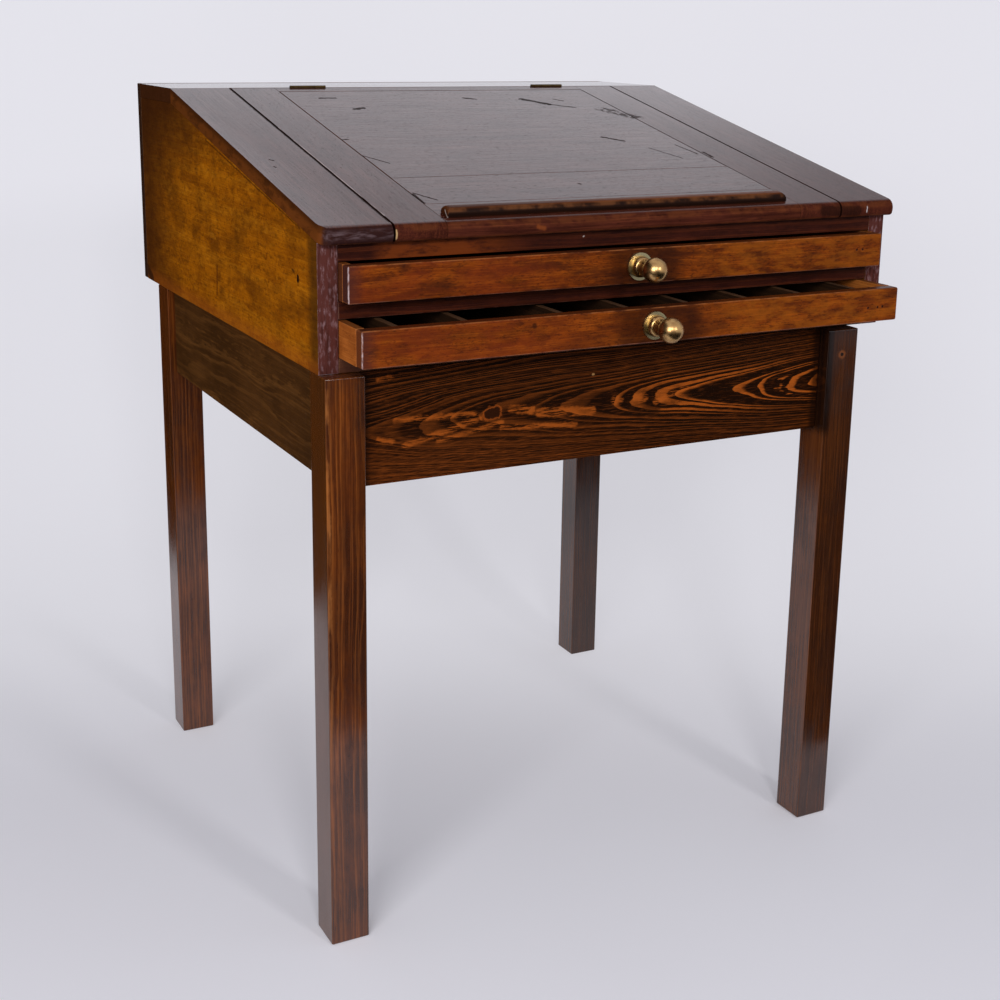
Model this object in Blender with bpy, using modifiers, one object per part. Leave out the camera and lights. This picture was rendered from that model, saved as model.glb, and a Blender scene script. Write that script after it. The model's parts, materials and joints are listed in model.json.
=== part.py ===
"""A writing bureau: a sloping box with a lift-up lid and two drawers, on a stand with four square legs.

Units are metres. +X is right, -Y is the front and +Z is up. The floor is z = 0, and the origin lies
under the middle of the bureau as it stands, with each drawer open by its own rest distance.
"""
import math

import bmesh
import bpy
from mathutils import Matrix, Vector

# Stand
STAND_WIDTH = 0.669
STAND_DEPTH = 0.614
STAND_HEIGHT = 0.627
LEG_FRONT_PROUD = 0.0175
LEG = 0.043
APRON_THICKNESS = 0.020
FRONT_APRON_DEPTH = 0.120
SIDE_APRON_DEPTH = 0.112
FRONT_APRON_SETBACK = 0.016
SIDE_APRON_SETBACK = 0.009
APRON_TENON_THICKNESS = 0.009
APRON_TENON_SHOULDER = 0.015
TENON_WEB = 0.0035

# Box
CASE_WIDTH = 0.710
CASE_DEPTH = 0.664
SIDE_THICKNESS = 0.0215
BACK_THICKNESS = 0.016
BOTTOM_THICKNESS = 0.0152
DRAWER_OPENING = 0.0395
MID_RAIL_HEIGHT = 0.0185
MID_RAIL_DEPTH = 0.060
TOP_RAIL_HEIGHT = 0.0193
TOP_RAIL_THICKNESS = 0.022
RUNNER_WIDTH = 0.024
WELL_FLOOR_THICKNESS = 0.009
WELL_FLOOR_RAISE = 0.002
HOUSING_DEPTH = 0.006
HOUSING_STOP = 0.008
TONGUE_THICKNESS = 0.006

# Slope, flat top and cheeks
SLOPE_ANGLE = math.radians(12.08)
FLAT_TOP_DEPTH = 0.160
TOP_BOARD = 0.018
NOSE_REACH = 0.0170
NOSE_TOP_RADIUS = 0.0105
NOSE_UNDER_RADIUS = 0.0050
CHEEK_WIDTH = 0.075
CHEEK_CORNER_RADIUS = 0.018
CORNER_RUN_OUT = 0.0001

# Lid
LID_SIDE_GAP = 0.0026
LID_STILE = 0.0565
LID_FRONT_RAIL = 0.061
LID_BACK_RAIL = 0.019
PANEL_THICKNESS = 0.012
PANEL_FRONT_BOARD = 0.089
PANEL_SEAM = 0.0008
LID_TONGUE_LENGTH = 0.007
LID_TONGUE_THICKNESS = 0.005
BOOK_REST_LENGTH = 0.4245
BOOK_REST_OFFSET = -0.003
BOOK_REST_WIDTH = 0.017
BOOK_REST_HEIGHT = 0.0095
BOOK_REST_SETBACK = 0.0160
BOOK_REST_RADIUS = 0.0070

# Hinges
HINGE_LENGTH = 0.048
HINGE_INSET = 0.0215
HINGE_GAP = 0.0016
HINGE_AXIS_RISE = 0.0005
KNUCKLE_RADIUS = 0.0020
KNUCKLE_CLEARANCE = 0.0004
HINGE_PIN_RADIUS = 0.0009
HINGE_PIN_CLEARANCE = 0.00008
LEAF_HEIGHT = 0.014
LEAF_THICKNESS = 0.0012
LEAF_SPACE = 0.0004

# Drawers
UPPER_DRAWER_REST = 0.0247
LOWER_DRAWER_REST = 0.0589
DRAWER_RUN_GAP = 0.0003
DRAWER_TOP_CLEARANCE = 0.0012
DRAWER_SIDE_CLEARANCE = 0.0010
DRAWER_BACK_CLEARANCE = 0.0010
DRAWER_FRONT = 0.015
DRAWER_SIDE = 0.009
DRAWER_BACK = 0.009
DRAWER_BACK_DROP = 0.003
DRAWER_BOTTOM = 0.005
DRAWER_BOTTOM_RAISE = 0.006
DRAWER_GROOVE = 0.004
DRAWER_TONGUE_LENGTH = 0.006
DRAWER_TONGUE_THICKNESS = 0.004
DRAWER_TONGUE_STOP = 0.003
DIVIDER_THICKNESS = 0.007
DIVIDER_DROP = 0.001
COMPARTMENT_SHARES = (30, 69, 103, 73, 69, 71, 67, 72, 37)

# Knobs
KNOB_BALL_RADIUS = 0.0136
KNOB_REACH = 0.0453
KNOB_NECK_RADIUS = 0.0090
KNOB_BASE_RADIUS = 0.0150
KNOB_RIM = 0.0032
KNOB_SHOULDER_RADIUS = 0.0116
KNOB_SHOULDER_RISE = 0.0078
KNOB_SHANK_RADIUS = 0.0030
KNOB_HOLE_CLEARANCE = 0.0003
NUT_RADIUS = 0.0070
NUT_THICKNESS = 0.0040
SHANK_PAST_NUT = 0.0015

# Space left between pieces that touch
JOINT_GAP = 0.0003

# Fineness of round shapes
ARC_STEPS = 5
TURNING_STEPS = 32
BARREL_SIDES = 20

# Plan of the box and the stand
case_left = -CASE_WIDTH / 2
case_right = CASE_WIDTH / 2
front_reach = LOWER_DRAWER_REST + KNOB_REACH + JOINT_GAP
case_front = (front_reach - CASE_DEPTH) / 2
case_back = case_front + CASE_DEPTH
inner_left = case_left + SIDE_THICKNESS
inner_right = case_right - SIDE_THICKNESS
side_back = case_back - BACK_THICKNESS - JOINT_GAP
stand_left = case_left
stand_right = stand_left + STAND_WIDTH
stand_front = case_front - LEG_FRONT_PROUD
stand_back = stand_front + STAND_DEPTH

# Heights in the box, from its bottom upwards
case_bottom = STAND_HEIGHT + JOINT_GAP
bottom_top = case_bottom + BOTTOM_THICKNESS
mid_rail_low = bottom_top + DRAWER_OPENING
mid_rail_top = mid_rail_low + MID_RAIL_HEIGHT
top_rail_low = mid_rail_top + DRAWER_OPENING
well_floor_low = top_rail_low + WELL_FLOOR_RAISE
well_floor_top = well_floor_low + WELL_FLOOR_THICKNESS
drawer_height = DRAWER_OPENING - DRAWER_RUN_GAP - DRAWER_TOP_CLEARANCE

# The slope: s runs down it from the front edge of the flat top, and h stands square to its surface
slope_cos = math.cos(SLOPE_ANGLE)
slope_sin = math.sin(SLOPE_ANGLE)
slope_tan = math.tan(SLOPE_ANGLE)
break_y = case_back - FLAT_TOP_DEPTH
slope_top_at_front = top_rail_low + TOP_RAIL_HEIGHT + (TOP_BOARD + JOINT_GAP) / slope_cos
flat_top_z = slope_top_at_front + (break_y - case_front) * slope_tan
flat_under_z = flat_top_z - TOP_BOARD - JOINT_GAP
lid_back = break_y - HINGE_GAP
lid_left = case_left + CHEEK_WIDTH + LID_SIDE_GAP
lid_right = -lid_left
frame_left = lid_left + LID_STILE
frame_right = -frame_left
hinge_y = break_y - HINGE_GAP / 2
hinge_z = flat_top_z + HINGE_AXIS_RISE


def slope_point(s, h):
    """The y and z of a point s down the slope and h above its surface."""
    return (break_y - s * slope_cos - h * slope_sin, flat_top_z - s * slope_sin + h * slope_cos)


def slope_distance(y, h):
    """How far down the slope the vertical plane at y cuts the level h."""
    return (break_y - y - h * slope_sin) / slope_cos


def slope_under(y):
    """Height of the underside of the slope's boards at y, with the gap that a joint keeps."""
    return slope_top_at_front + (y - case_front) * slope_tan - (TOP_BOARD + JOINT_GAP) / slope_cos


nose_s = slope_distance(case_front - NOSE_REACH, 0)
front_rail_s = nose_s - LID_FRONT_RAIL
back_rail_s = LID_BACK_RAIL
panel_joint_s = front_rail_s - PANEL_FRONT_BOARD


def start_scene():
    """Empties the scene and makes the two collections."""
    for piece in list(bpy.data.objects):
        bpy.data.objects.remove(piece)
    made = []
    for name in ("writing_bureau", "cutters"):
        group = bpy.data.collections.new(name)
        bpy.context.scene.collection.children.link(group)
        made.append(group)
    return made


parts, cutters = start_scene()


def make_material(name, colour, roughness, metallic=0.0):
    """A Principled material of one colour."""
    material = bpy.data.materials.new(name)
    material.use_nodes = True
    shader = material.node_tree.nodes["Principled BSDF"]
    shader.inputs["Base Color"].default_value = (*colour, 1.0)
    shader.inputs["Roughness"].default_value = roughness
    shader.inputs["Metallic"].default_value = metallic
    material.diffuse_color = (*colour, 1.0)
    return material


leg_wood = make_material("leg_wood", (0.125, 0.045, 0.016), 0.40)
apron_wood = make_material("apron_wood", (0.165, 0.062, 0.018), 0.40)
side_wood = make_material("side_wood", (0.250, 0.100, 0.020), 0.42)
case_wood = make_material("case_wood", (0.095, 0.033, 0.018), 0.42)
slope_wood = make_material("slope_wood", (0.085, 0.040, 0.028), 0.30)
drawer_wood = make_material("drawer_wood", (0.260, 0.095, 0.018), 0.42)
inner_wood = make_material("inner_wood", (0.180, 0.100, 0.045), 0.65)
knob_brass = make_material("knob_brass", (0.620, 0.470, 0.230), 0.25, 1.0)
hinge_brass = make_material("hinge_brass", (0.300, 0.200, 0.080), 0.40, 1.0)


def make_pivot(name, place):
    """An empty that carries the pieces of one body, on that body's joint axis."""
    pivot = bpy.data.objects.new(name, None)
    pivot.location = place
    pivot.empty_display_size = 0.05
    parts.objects.link(pivot)
    return pivot


upper_base = mid_rail_top + DRAWER_RUN_GAP
lower_base = bottom_top + DRAWER_RUN_GAP
case_frame = make_pivot("case_frame", (0, 0, 0))
lid_frame = make_pivot("lid_frame", (0, hinge_y, hinge_z))
upper_frame = make_pivot("upper_drawer_frame", (0, case_front - UPPER_DRAWER_REST, upper_base))
lower_frame = make_pivot("lower_drawer_frame", (0, case_front - LOWER_DRAWER_REST, lower_base))


def place_piece(name, mesh, centre, pivot, material):
    """Puts a mesh at a place in the world as a part, or as a cutter if it has no material."""
    piece = bpy.data.objects.new(name, mesh)
    piece.parent = pivot
    piece.location = Vector(centre) - pivot.location
    if material:
        mesh.materials.append(material)
        parts.objects.link(piece)
    else:
        piece.hide_render = True
        piece.display_type = "WIRE"
        cutters.objects.link(piece)
    return piece


def make_box(name, low, high, pivot, material=None):
    """A board or block between two corners."""
    low, high = Vector(low), Vector(high)
    form = bmesh.new()
    bmesh.ops.create_cube(form, size=1.0)
    bmesh.ops.scale(form, vec=high - low, verts=form.verts)
    mesh = bpy.data.meshes.new(name)
    form.to_mesh(mesh)
    form.free()
    return place_piece(name, mesh, (low + high) / 2, pivot, material)


def make_rod(name, radius, low, high, axis, pivot, material=None):
    """A round rod between two points that differ along one axis."""
    low, high = Vector(low), Vector(high)
    form = bmesh.new()
    bmesh.ops.create_cone(form, cap_ends=True, segments=BARREL_SIDES, radius1=radius, radius2=radius,
                          depth=(high - low).length)
    turns = {"X": Matrix.Rotation(math.pi / 2, 3, "Y"), "Y": Matrix.Rotation(math.pi / 2, 3, "X")}
    bmesh.ops.rotate(form, matrix=turns.get(axis, Matrix.Identity(3)), verts=form.verts)
    mesh = bpy.data.meshes.new(name)
    form.to_mesh(mesh)
    form.free()
    mesh.shade_smooth()
    mesh.set_sharp_from_angle(angle=math.radians(40))
    return place_piece(name, mesh, (low + high) / 2, pivot, material)


def make_section(name, outline, x_low, x_high, pivot, material=None):
    """A length of one section, given as y and z points, between two values of x."""
    centre = Vector(((x_low + x_high) / 2, outline[0][0], outline[0][1]))
    curve = bpy.data.curves.new(name, "CURVE")
    curve.dimensions = "2D"
    curve.fill_mode = "BOTH"
    curve.extrude = (x_high - x_low) / 2
    spline = curve.splines.new("POLY")
    spline.points.add(len(outline) - 1)
    spline.use_cyclic_u = True
    for point, (y, z) in zip(spline.points, outline):
        point.co = (y - centre.y, z - centre.z, 0, 1)
    drawn = bpy.data.objects.new(name, curve)
    cutters.objects.link(drawn)
    seen = drawn.evaluated_get(bpy.context.evaluated_depsgraph_get())
    mesh = bpy.data.meshes.new_from_object(seen)
    bpy.data.objects.remove(drawn)
    mesh.transform(Matrix(((0, 0, 1), (1, 0, 0), (0, 1, 0))).to_4x4())
    form = bmesh.new()
    form.from_mesh(mesh)
    bmesh.ops.remove_doubles(form, verts=form.verts, dist=1e-6)
    bmesh.ops.recalc_face_normals(form, faces=form.faces)
    form.to_mesh(mesh)
    form.free()
    mesh.materials.clear()
    return place_piece(name, mesh, centre, pivot, material)


def combine(piece, operation, *others):
    """Cuts other solids out of a piece, or joins them to it."""
    for other in others:
        step = piece.modifiers.new(other.name, "BOOLEAN")
        step.operation = operation
        step.solver = "EXACT"
        step.object = other
    return piece


def cut(piece, *others):
    return combine(piece, "DIFFERENCE", *others)


def join(piece, *others):
    return combine(piece, "UNION", *others)


def grown(low, high):
    """The corners of a box with the gap of a joint added all round."""
    gap = Vector((JOINT_GAP, JOINT_GAP, JOINT_GAP))
    return Vector(low) - gap, Vector(high) + gap


def tenoned_board(name, low, high, tenon_low, tenon_high, pivot, material):
    """A board with tenons at its ends, and the cutter for the mortises that take them."""
    board = make_box(name, low, high, pivot, material)
    join(board, make_box(name + "_tenon", tenon_low, tenon_high, pivot))
    return board, make_box(name + "_mortise", *grown(tenon_low, tenon_high), pivot)


def arc(centre, radius, start, end):
    """Points of an arc, with angles in degrees."""
    points = []
    for step in range(ARC_STEPS + 1):
        angle = math.radians(start + (end - start) * step / ARC_STEPS)
        points.append((centre[0] + radius * math.cos(angle), centre[1] + radius * math.sin(angle)))
    return points


def nose_outline(back_points):
    """Section of a slope board whose front end is rounded, from points at its back in s and h."""
    top, under = NOSE_TOP_RADIUS, NOSE_UNDER_RADIUS
    outline = list(back_points)
    outline += arc((nose_s - top, -top), top, 90, 0)
    outline += arc((nose_s - under, under - TOP_BOARD), under, 0, -90)
    return [slope_point(s, h) for s, h in outline]


def slope_block(s_low, s_high, h_low, h_high):
    """Section of a plain strip on the slope."""
    corners = ((s_low, h_low), (s_high, h_low), (s_high, h_high), (s_low, h_high))
    return [slope_point(s, h) for s, h in corners]


def build_stand():
    """Four legs and the four aprons tenoned into them."""
    inset = (APRON_THICKNESS - APRON_TENON_THICKNESS) / 2
    tenon_length = LEG - SIDE_APRON_SETBACK - inset - APRON_TENON_THICKNESS - TENON_WEB
    x_ends = (stand_left + LEG, stand_right - LEG)
    y_ends = (stand_front + LEG, stand_back - LEG)
    tenon_top = STAND_HEIGHT - APRON_TENON_SHOULDER
    mortises = {}
    front_faces = {
        "front": stand_front + FRONT_APRON_SETBACK,
        "back": stand_back - FRONT_APRON_SETBACK - APRON_THICKNESS,
    }
    for name, y in front_faces.items():
        z_low = STAND_HEIGHT - FRONT_APRON_DEPTH
        mortises[name] = tenoned_board(
            f"apron_{name}",
            (x_ends[0] + JOINT_GAP, y, z_low),
            (x_ends[1] - JOINT_GAP, y + APRON_THICKNESS, STAND_HEIGHT),
            (x_ends[0] - tenon_length, y + inset, z_low + APRON_TENON_SHOULDER),
            (x_ends[1] + tenon_length, y + inset + APRON_TENON_THICKNESS, tenon_top),
            case_frame, apron_wood)[1]
    side_faces = {
        "left": stand_left + SIDE_APRON_SETBACK,
        "right": stand_right - SIDE_APRON_SETBACK - APRON_THICKNESS,
    }
    for name, x in side_faces.items():
        z_low = STAND_HEIGHT - SIDE_APRON_DEPTH
        mortises[name] = tenoned_board(
            f"apron_{name}",
            (x, y_ends[0] + JOINT_GAP, z_low),
            (x + APRON_THICKNESS, y_ends[1] - JOINT_GAP, STAND_HEIGHT),
            (x + inset, y_ends[0] - tenon_length, z_low + APRON_TENON_SHOULDER),
            (x + inset + APRON_TENON_THICKNESS, y_ends[1] + tenon_length, tenon_top),
            case_frame, apron_wood)[1]
    for row, y in (("front", stand_front), ("back", stand_back - LEG)):
        for hand, x in (("left", stand_left), ("right", stand_right - LEG)):
            leg = make_box(f"leg_{row}_{hand}", (x, y, 0), (x + LEG, y + LEG, STAND_HEIGHT),
                           case_frame, leg_wood)
            cut(leg, mortises[row], mortises[hand])


def build_case():
    """The box: sides, back, bottom, rails, runners and the floor of the well."""
    rail_back = case_front + TOP_RAIL_THICKNESS
    half_tongue = TONGUE_THICKNESS / 2
    bottom_middle = case_bottom + BOTTOM_THICKNESS / 2
    housing_left = inner_left - HOUSING_DEPTH
    housing_right = inner_right + HOUSING_DEPTH
    bottom_housing = tenoned_board(
        "bottom_board",
        (inner_left + JOINT_GAP, case_front, case_bottom),
        (inner_right - JOINT_GAP, side_back, bottom_top),
        (housing_left, case_front + HOUSING_STOP, bottom_middle - half_tongue),
        (housing_right, side_back - HOUSING_STOP, bottom_middle + half_tongue),
        case_frame, case_wood)[1]
    mid_middle = mid_rail_low + MID_RAIL_HEIGHT / 2
    mid_mortise = tenoned_board(
        "mid_rail",
        (inner_left + JOINT_GAP, case_front, mid_rail_low),
        (inner_right - JOINT_GAP, case_front + MID_RAIL_DEPTH, mid_rail_top),
        (housing_left, case_front + HOUSING_STOP, mid_middle - half_tongue),
        (housing_right, case_front + MID_RAIL_DEPTH - HOUSING_STOP, mid_middle + half_tongue),
        case_frame, case_wood)[1]

    floor_low = (housing_left, rail_back - HOUSING_DEPTH, well_floor_low)
    floor_high = (housing_right, side_back, well_floor_top)
    make_box("well_floor", floor_low, floor_high, case_frame, inner_wood)
    floor_groove = make_box("well_floor_groove", *grown(floor_low, floor_high), case_frame)

    rail_outline = [
        (case_front, top_rail_low),
        (rail_back, top_rail_low),
        (rail_back, slope_under(rail_back)),
        (case_front, slope_under(case_front)),
    ]
    top_rail = make_section("top_rail", rail_outline, inner_left + JOINT_GAP, inner_right - JOINT_GAP,
                            case_frame, case_wood)
    tenon_low = (housing_left, case_front + TENON_WEB, well_floor_low)
    tenon_high = (housing_right, rail_back - HOUSING_DEPTH - TENON_WEB, well_floor_top)
    join(top_rail, make_box("top_rail_tenon", tenon_low, tenon_high, case_frame))
    cut(top_rail, floor_groove)
    rail_mortise = make_box("top_rail_mortise", *grown(tenon_low, tenon_high), case_frame)

    mitre_y = case_front + (flat_under_z - slope_under(case_front)) / slope_tan
    side_outline = [
        (case_front, case_bottom),
        (side_back, case_bottom),
        (side_back, flat_under_z),
        (mitre_y, flat_under_z),
        (case_front, slope_under(case_front)),
    ]
    for hand, x in (("left", case_left), ("right", inner_right)):
        side = make_section(f"side_{hand}", side_outline, x, x + SIDE_THICKNESS, case_frame, side_wood)
        cut(side, bottom_housing, mid_mortise, rail_mortise, floor_groove)
    make_box("back_board", (case_left, case_back - BACK_THICKNESS, case_bottom),
             (case_right, case_back, flat_top_z), case_frame, case_wood)
    for hand, x in (("left", inner_left + JOINT_GAP), ("right", inner_right - JOINT_GAP - RUNNER_WIDTH)):
        make_box(f"runner_{hand}", (x, case_front + MID_RAIL_DEPTH + JOINT_GAP, mid_rail_low),
                 (x + RUNNER_WIDTH, side_back, mid_rail_top), case_frame, inner_wood)


def left_corner_waste():
    """The waste outside the rounded front corner of the left cheek. The right cheek's corner is square."""
    corner_y = slope_point(nose_s, -NOSE_TOP_RADIUS)[0]
    middle_x = case_left + CHEEK_CORNER_RADIUS
    middle_y = corner_y + CHEEK_CORNER_RADIUS
    low_z = slope_top_at_front - 3 * TOP_BOARD
    high_z = slope_top_at_front + TOP_BOARD
    waste = make_box("cheek_left_corner", (case_left - NOSE_REACH, corner_y - NOSE_REACH, low_z),
                     (middle_x, middle_y, high_z), case_frame)
    kept = make_rod("cheek_left_corner_round", CHEEK_CORNER_RADIUS + CORNER_RUN_OUT,
                    (middle_x, middle_y, low_z - TOP_BOARD), (middle_x, middle_y, high_z + TOP_BOARD),
                    "Z", case_frame)
    return cut(waste, kept)


def build_top(hinge_pockets):
    """The flat top board and the two cheeks that border the lid."""
    flat_top = make_box("flat_top", (case_left, break_y, flat_top_z - TOP_BOARD),
                        (case_right, side_back, flat_top_z), case_frame, slope_wood)
    cut(flat_top, *hinge_pockets)
    cheek_back = break_y - JOINT_GAP
    back_points = [(slope_distance(cheek_back, -TOP_BOARD), -TOP_BOARD), (slope_distance(cheek_back, 0), 0)]
    cheeks = {}
    for hand, x in (("left", case_left), ("right", case_right - CHEEK_WIDTH)):
        cheeks[hand] = make_section(f"cheek_{hand}", nose_outline(back_points), x, x + CHEEK_WIDTH,
                                    case_frame, slope_wood)
    cut(cheeks["left"], left_corner_waste())


def build_book_rest():
    """A strip on the lid that stops a book, rounded over along its top edges and at its ends."""
    middle_s = nose_s - BOOK_REST_SETBACK - BOOK_REST_WIDTH / 2
    centre = (BOOK_REST_OFFSET, *slope_point(middle_s, JOINT_GAP + BOOK_REST_HEIGHT / 2))
    half = Vector((BOOK_REST_LENGTH, BOOK_REST_WIDTH, BOOK_REST_HEIGHT)) / 2
    rest = make_box("book_rest", Vector(centre) - half, Vector(centre) + half, lid_frame, case_wood)
    rest.rotation_euler = (SLOPE_ANGLE, 0, 0)
    weights = rest.data.attributes.new("bevel_weight_edge", "FLOAT", "EDGE")
    for edge in rest.data.edges:
        if all(rest.data.vertices[corner].co.z > 0 for corner in edge.vertices):
            weights.data[edge.index].value = 1.0
    rounding = rest.modifiers.new("rounding", "BEVEL")
    rounding.limit_method = "WEIGHT"
    rounding.width = BOOK_REST_RADIUS
    rounding.segments = ARC_STEPS


def build_lid(hinge_pockets):
    """The framed lid with its two panel boards and the book rest."""
    tongue_top = -(PANEL_THICKNESS - LID_TONGUE_THICKNESS) / 2
    tongue_low = tongue_top - LID_TONGUE_THICKNESS
    groove_top, groove_low = tongue_top + JOINT_GAP, tongue_low - JOINT_GAP
    reach = LID_TONGUE_LENGTH
    groove_reach = reach + JOINT_GAP
    back_points = [(slope_distance(lid_back, -TOP_BOARD), -TOP_BOARD), (slope_distance(lid_back, 0), 0)]
    groove_front = front_rail_s + LID_FRONT_RAIL / 2

    groove_block = slope_block(-TOP_BOARD, groove_front + JOINT_GAP, groove_low, groove_top)
    groove = make_section("lid_stile_groove", groove_block, frame_left - groove_reach,
                          frame_right + groove_reach, lid_frame)
    for hand, x in (("left", lid_left), ("right", frame_right)):
        stile = make_section(f"lid_stile_{hand}", nose_outline(back_points), x, x + LID_STILE,
                             lid_frame, slope_wood)
        cut(stile, groove)

    def between_stiles(name, outline, tongue, seam):
        piece = make_section(name, outline, frame_left + seam, frame_right - seam, lid_frame, slope_wood)
        join(piece, make_section(name + "_tongue", slope_block(*tongue, tongue_low, tongue_top),
                                 frame_left - reach, frame_right + reach, lid_frame))
        return piece

    front_points = [(front_rail_s, -TOP_BOARD), (front_rail_s, 0)]
    front_rail = between_stiles("lid_front_rail", nose_outline(front_points),
                                (front_rail_s + groove_reach + TENON_WEB, groove_front), JOINT_GAP)
    back_outline = [slope_point(*back_points[0]), slope_point(back_rail_s, -TOP_BOARD),
                    slope_point(back_rail_s, 0), slope_point(*back_points[1])]
    back_tongue_start = slope_distance(lid_back, tongue_low) + TENON_WEB / 2
    back_rail = between_stiles("lid_back_rail", back_outline,
                               (back_tongue_start, back_rail_s - groove_reach - TENON_WEB / 2), JOINT_GAP)
    for rail, s_low, s_high in (
        (front_rail, front_rail_s - reach, front_rail_s + groove_reach),
        (back_rail, back_rail_s - groove_reach, back_rail_s + reach),
    ):
        cut(rail, make_section(rail.name + "_groove", slope_block(s_low, s_high, groove_low, groove_top),
                               frame_left - 2 * reach, frame_right + 2 * reach, lid_frame))
    cut(back_rail, *hinge_pockets)

    between_stiles("lid_panel_back_board",
                   slope_block(back_rail_s + PANEL_SEAM, panel_joint_s - JOINT_GAP / 2, -PANEL_THICKNESS, 0),
                   (back_rail_s - reach, panel_joint_s - JOINT_GAP / 2), PANEL_SEAM)
    between_stiles("lid_panel_front_board",
                   slope_block(panel_joint_s + JOINT_GAP / 2, front_rail_s - PANEL_SEAM, -PANEL_THICKNESS, 0),
                   (panel_joint_s + JOINT_GAP / 2, front_rail_s + reach), PANEL_SEAM)

    build_book_rest()


def hinge_places():
    """Hand and middle of each hinge, which stands a little in from the stile."""
    middle = frame_right - HINGE_INSET - HINGE_LENGTH / 2
    return (("left", -middle), ("right", middle))


def build_hinge_pockets():
    """Recesses for the knuckles and leaves, which the flat top and the lid share."""
    pockets = []
    reach = HINGE_LENGTH / 2 + JOINT_GAP
    for hand, x in hinge_places():
        depth = LEAF_SPACE / 2 + LEAF_THICKNESS + JOINT_GAP
        pockets.append(make_box(f"hinge_pocket_{hand}",
                                (x - reach, hinge_y - depth, hinge_z - LEAF_HEIGHT - JOINT_GAP),
                                (x + reach, hinge_y + depth, hinge_z + KNUCKLE_RADIUS), case_frame))
        pockets.append(make_rod(f"knuckle_recess_{hand}", KNUCKLE_RADIUS + KNUCKLE_CLEARANCE,
                                (x - reach, hinge_y, hinge_z), (x + reach, hinge_y, hinge_z),
                                "X", case_frame))
    return pockets


def build_leaf(name, x, knuckles, side, pivot):
    """One leaf of a hinge with its knuckles. Side is 1 at the flat top and -1 at the lid."""
    near, far = sorted((side * LEAF_SPACE / 2, side * (LEAF_SPACE / 2 + LEAF_THICKNESS)))
    plate_top = hinge_z - KNUCKLE_RADIUS - JOINT_GAP
    leaf = make_box(name, (x - HINGE_LENGTH / 2, hinge_y + near, hinge_z - LEAF_HEIGHT),
                    (x + HINGE_LENGTH / 2, hinge_y + far, plate_top), pivot, hinge_brass)
    for count, (start, end) in enumerate(knuckles):
        join(leaf, make_box(f"{name}_neck_{count}", (start, hinge_y + near, plate_top - KNUCKLE_RADIUS),
                            (end, hinge_y + far, hinge_z), pivot))
        join(leaf, make_rod(f"{name}_knuckle_{count}", KNUCKLE_RADIUS,
                            (start, hinge_y, hinge_z), (end, hinge_y, hinge_z), "X", pivot))
    bore = make_rod(f"{name}_bore", HINGE_PIN_RADIUS + HINGE_PIN_CLEARANCE,
                    (x - HINGE_LENGTH, hinge_y, hinge_z), (x + HINGE_LENGTH, hinge_y, hinge_z), "X", pivot)
    cut(leaf, bore)


def build_hinges():
    """Two butt hinges: the outer knuckles are on the case leaf, the middle one on the lid leaf."""
    knuckle = HINGE_LENGTH / 3
    for hand, x in hinge_places():
        first = x - HINGE_LENGTH / 2
        inner = first + knuckle
        outer = first + 2 * knuckle
        last = x + HINGE_LENGTH / 2
        case_knuckles = ((first, inner - JOINT_GAP), (outer + JOINT_GAP, last))
        build_leaf(f"hinge_{hand}_case_leaf", x, case_knuckles, 1, case_frame)
        build_leaf(f"hinge_{hand}_lid_leaf", x, ((inner, outer),), -1, lid_frame)
        make_rod(f"hinge_{hand}_pin", HINGE_PIN_RADIUS, (first, hinge_y, hinge_z), (last, hinge_y, hinge_z),
                 "X", case_frame, hinge_brass)


def knob_profile():
    """Outline of the turned knob as radius and height, from the tip of its ball to the end of its shank."""
    ball = KNOB_BALL_RADIUS
    middle = KNOB_REACH - ball
    neck_angle = math.degrees(math.asin(KNOB_NECK_RADIUS / ball))
    points = []
    ball_steps = 2 * ARC_STEPS
    for step in range(ball_steps + 1):
        angle = math.radians((180 - neck_angle) * step / ball_steps)
        points.append((ball * math.sin(angle), middle + ball * math.cos(angle)))
    points[0] = (0, KNOB_REACH)
    shoulder = KNOB_SHOULDER_RADIUS - KNOB_NECK_RADIUS
    for step in range(ARC_STEPS + 1):
        angle = math.radians(90 * step / ARC_STEPS)
        points.append((KNOB_NECK_RADIUS + shoulder * math.sin(angle),
                       KNOB_RIM + KNOB_SHOULDER_RISE * math.cos(angle)))
    shank_end = -(DRAWER_FRONT + 2 * JOINT_GAP + NUT_THICKNESS + SHANK_PAST_NUT)
    points += [(KNOB_BASE_RADIUS, KNOB_RIM), (KNOB_BASE_RADIUS, 0)]
    points += [(KNOB_SHANK_RADIUS, 0), (KNOB_SHANK_RADIUS, shank_end), (0, shank_end)]
    return points


def build_knob(name, place, pivot):
    """A brass ball knob, turned about the axis that runs out of the drawer's front."""
    profile = knob_profile()
    mesh = bpy.data.meshes.new(name)
    edges = [(step, step + 1) for step in range(len(profile) - 1)]
    mesh.from_pydata([(radius, 0, height) for radius, height in profile], edges, [])
    knob = place_piece(name, mesh, place, pivot, knob_brass)
    knob.rotation_euler = (math.pi / 2, 0, 0)
    turning = knob.modifiers.new("turning", "SCREW")
    turning.axis = "Z"
    turning.angle = math.tau
    turning.steps = TURNING_STEPS
    turning.render_steps = TURNING_STEPS
    turning.use_merge_vertices = True
    turning.merge_threshold = 0.00001
    turning.use_smooth_shade = True


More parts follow.
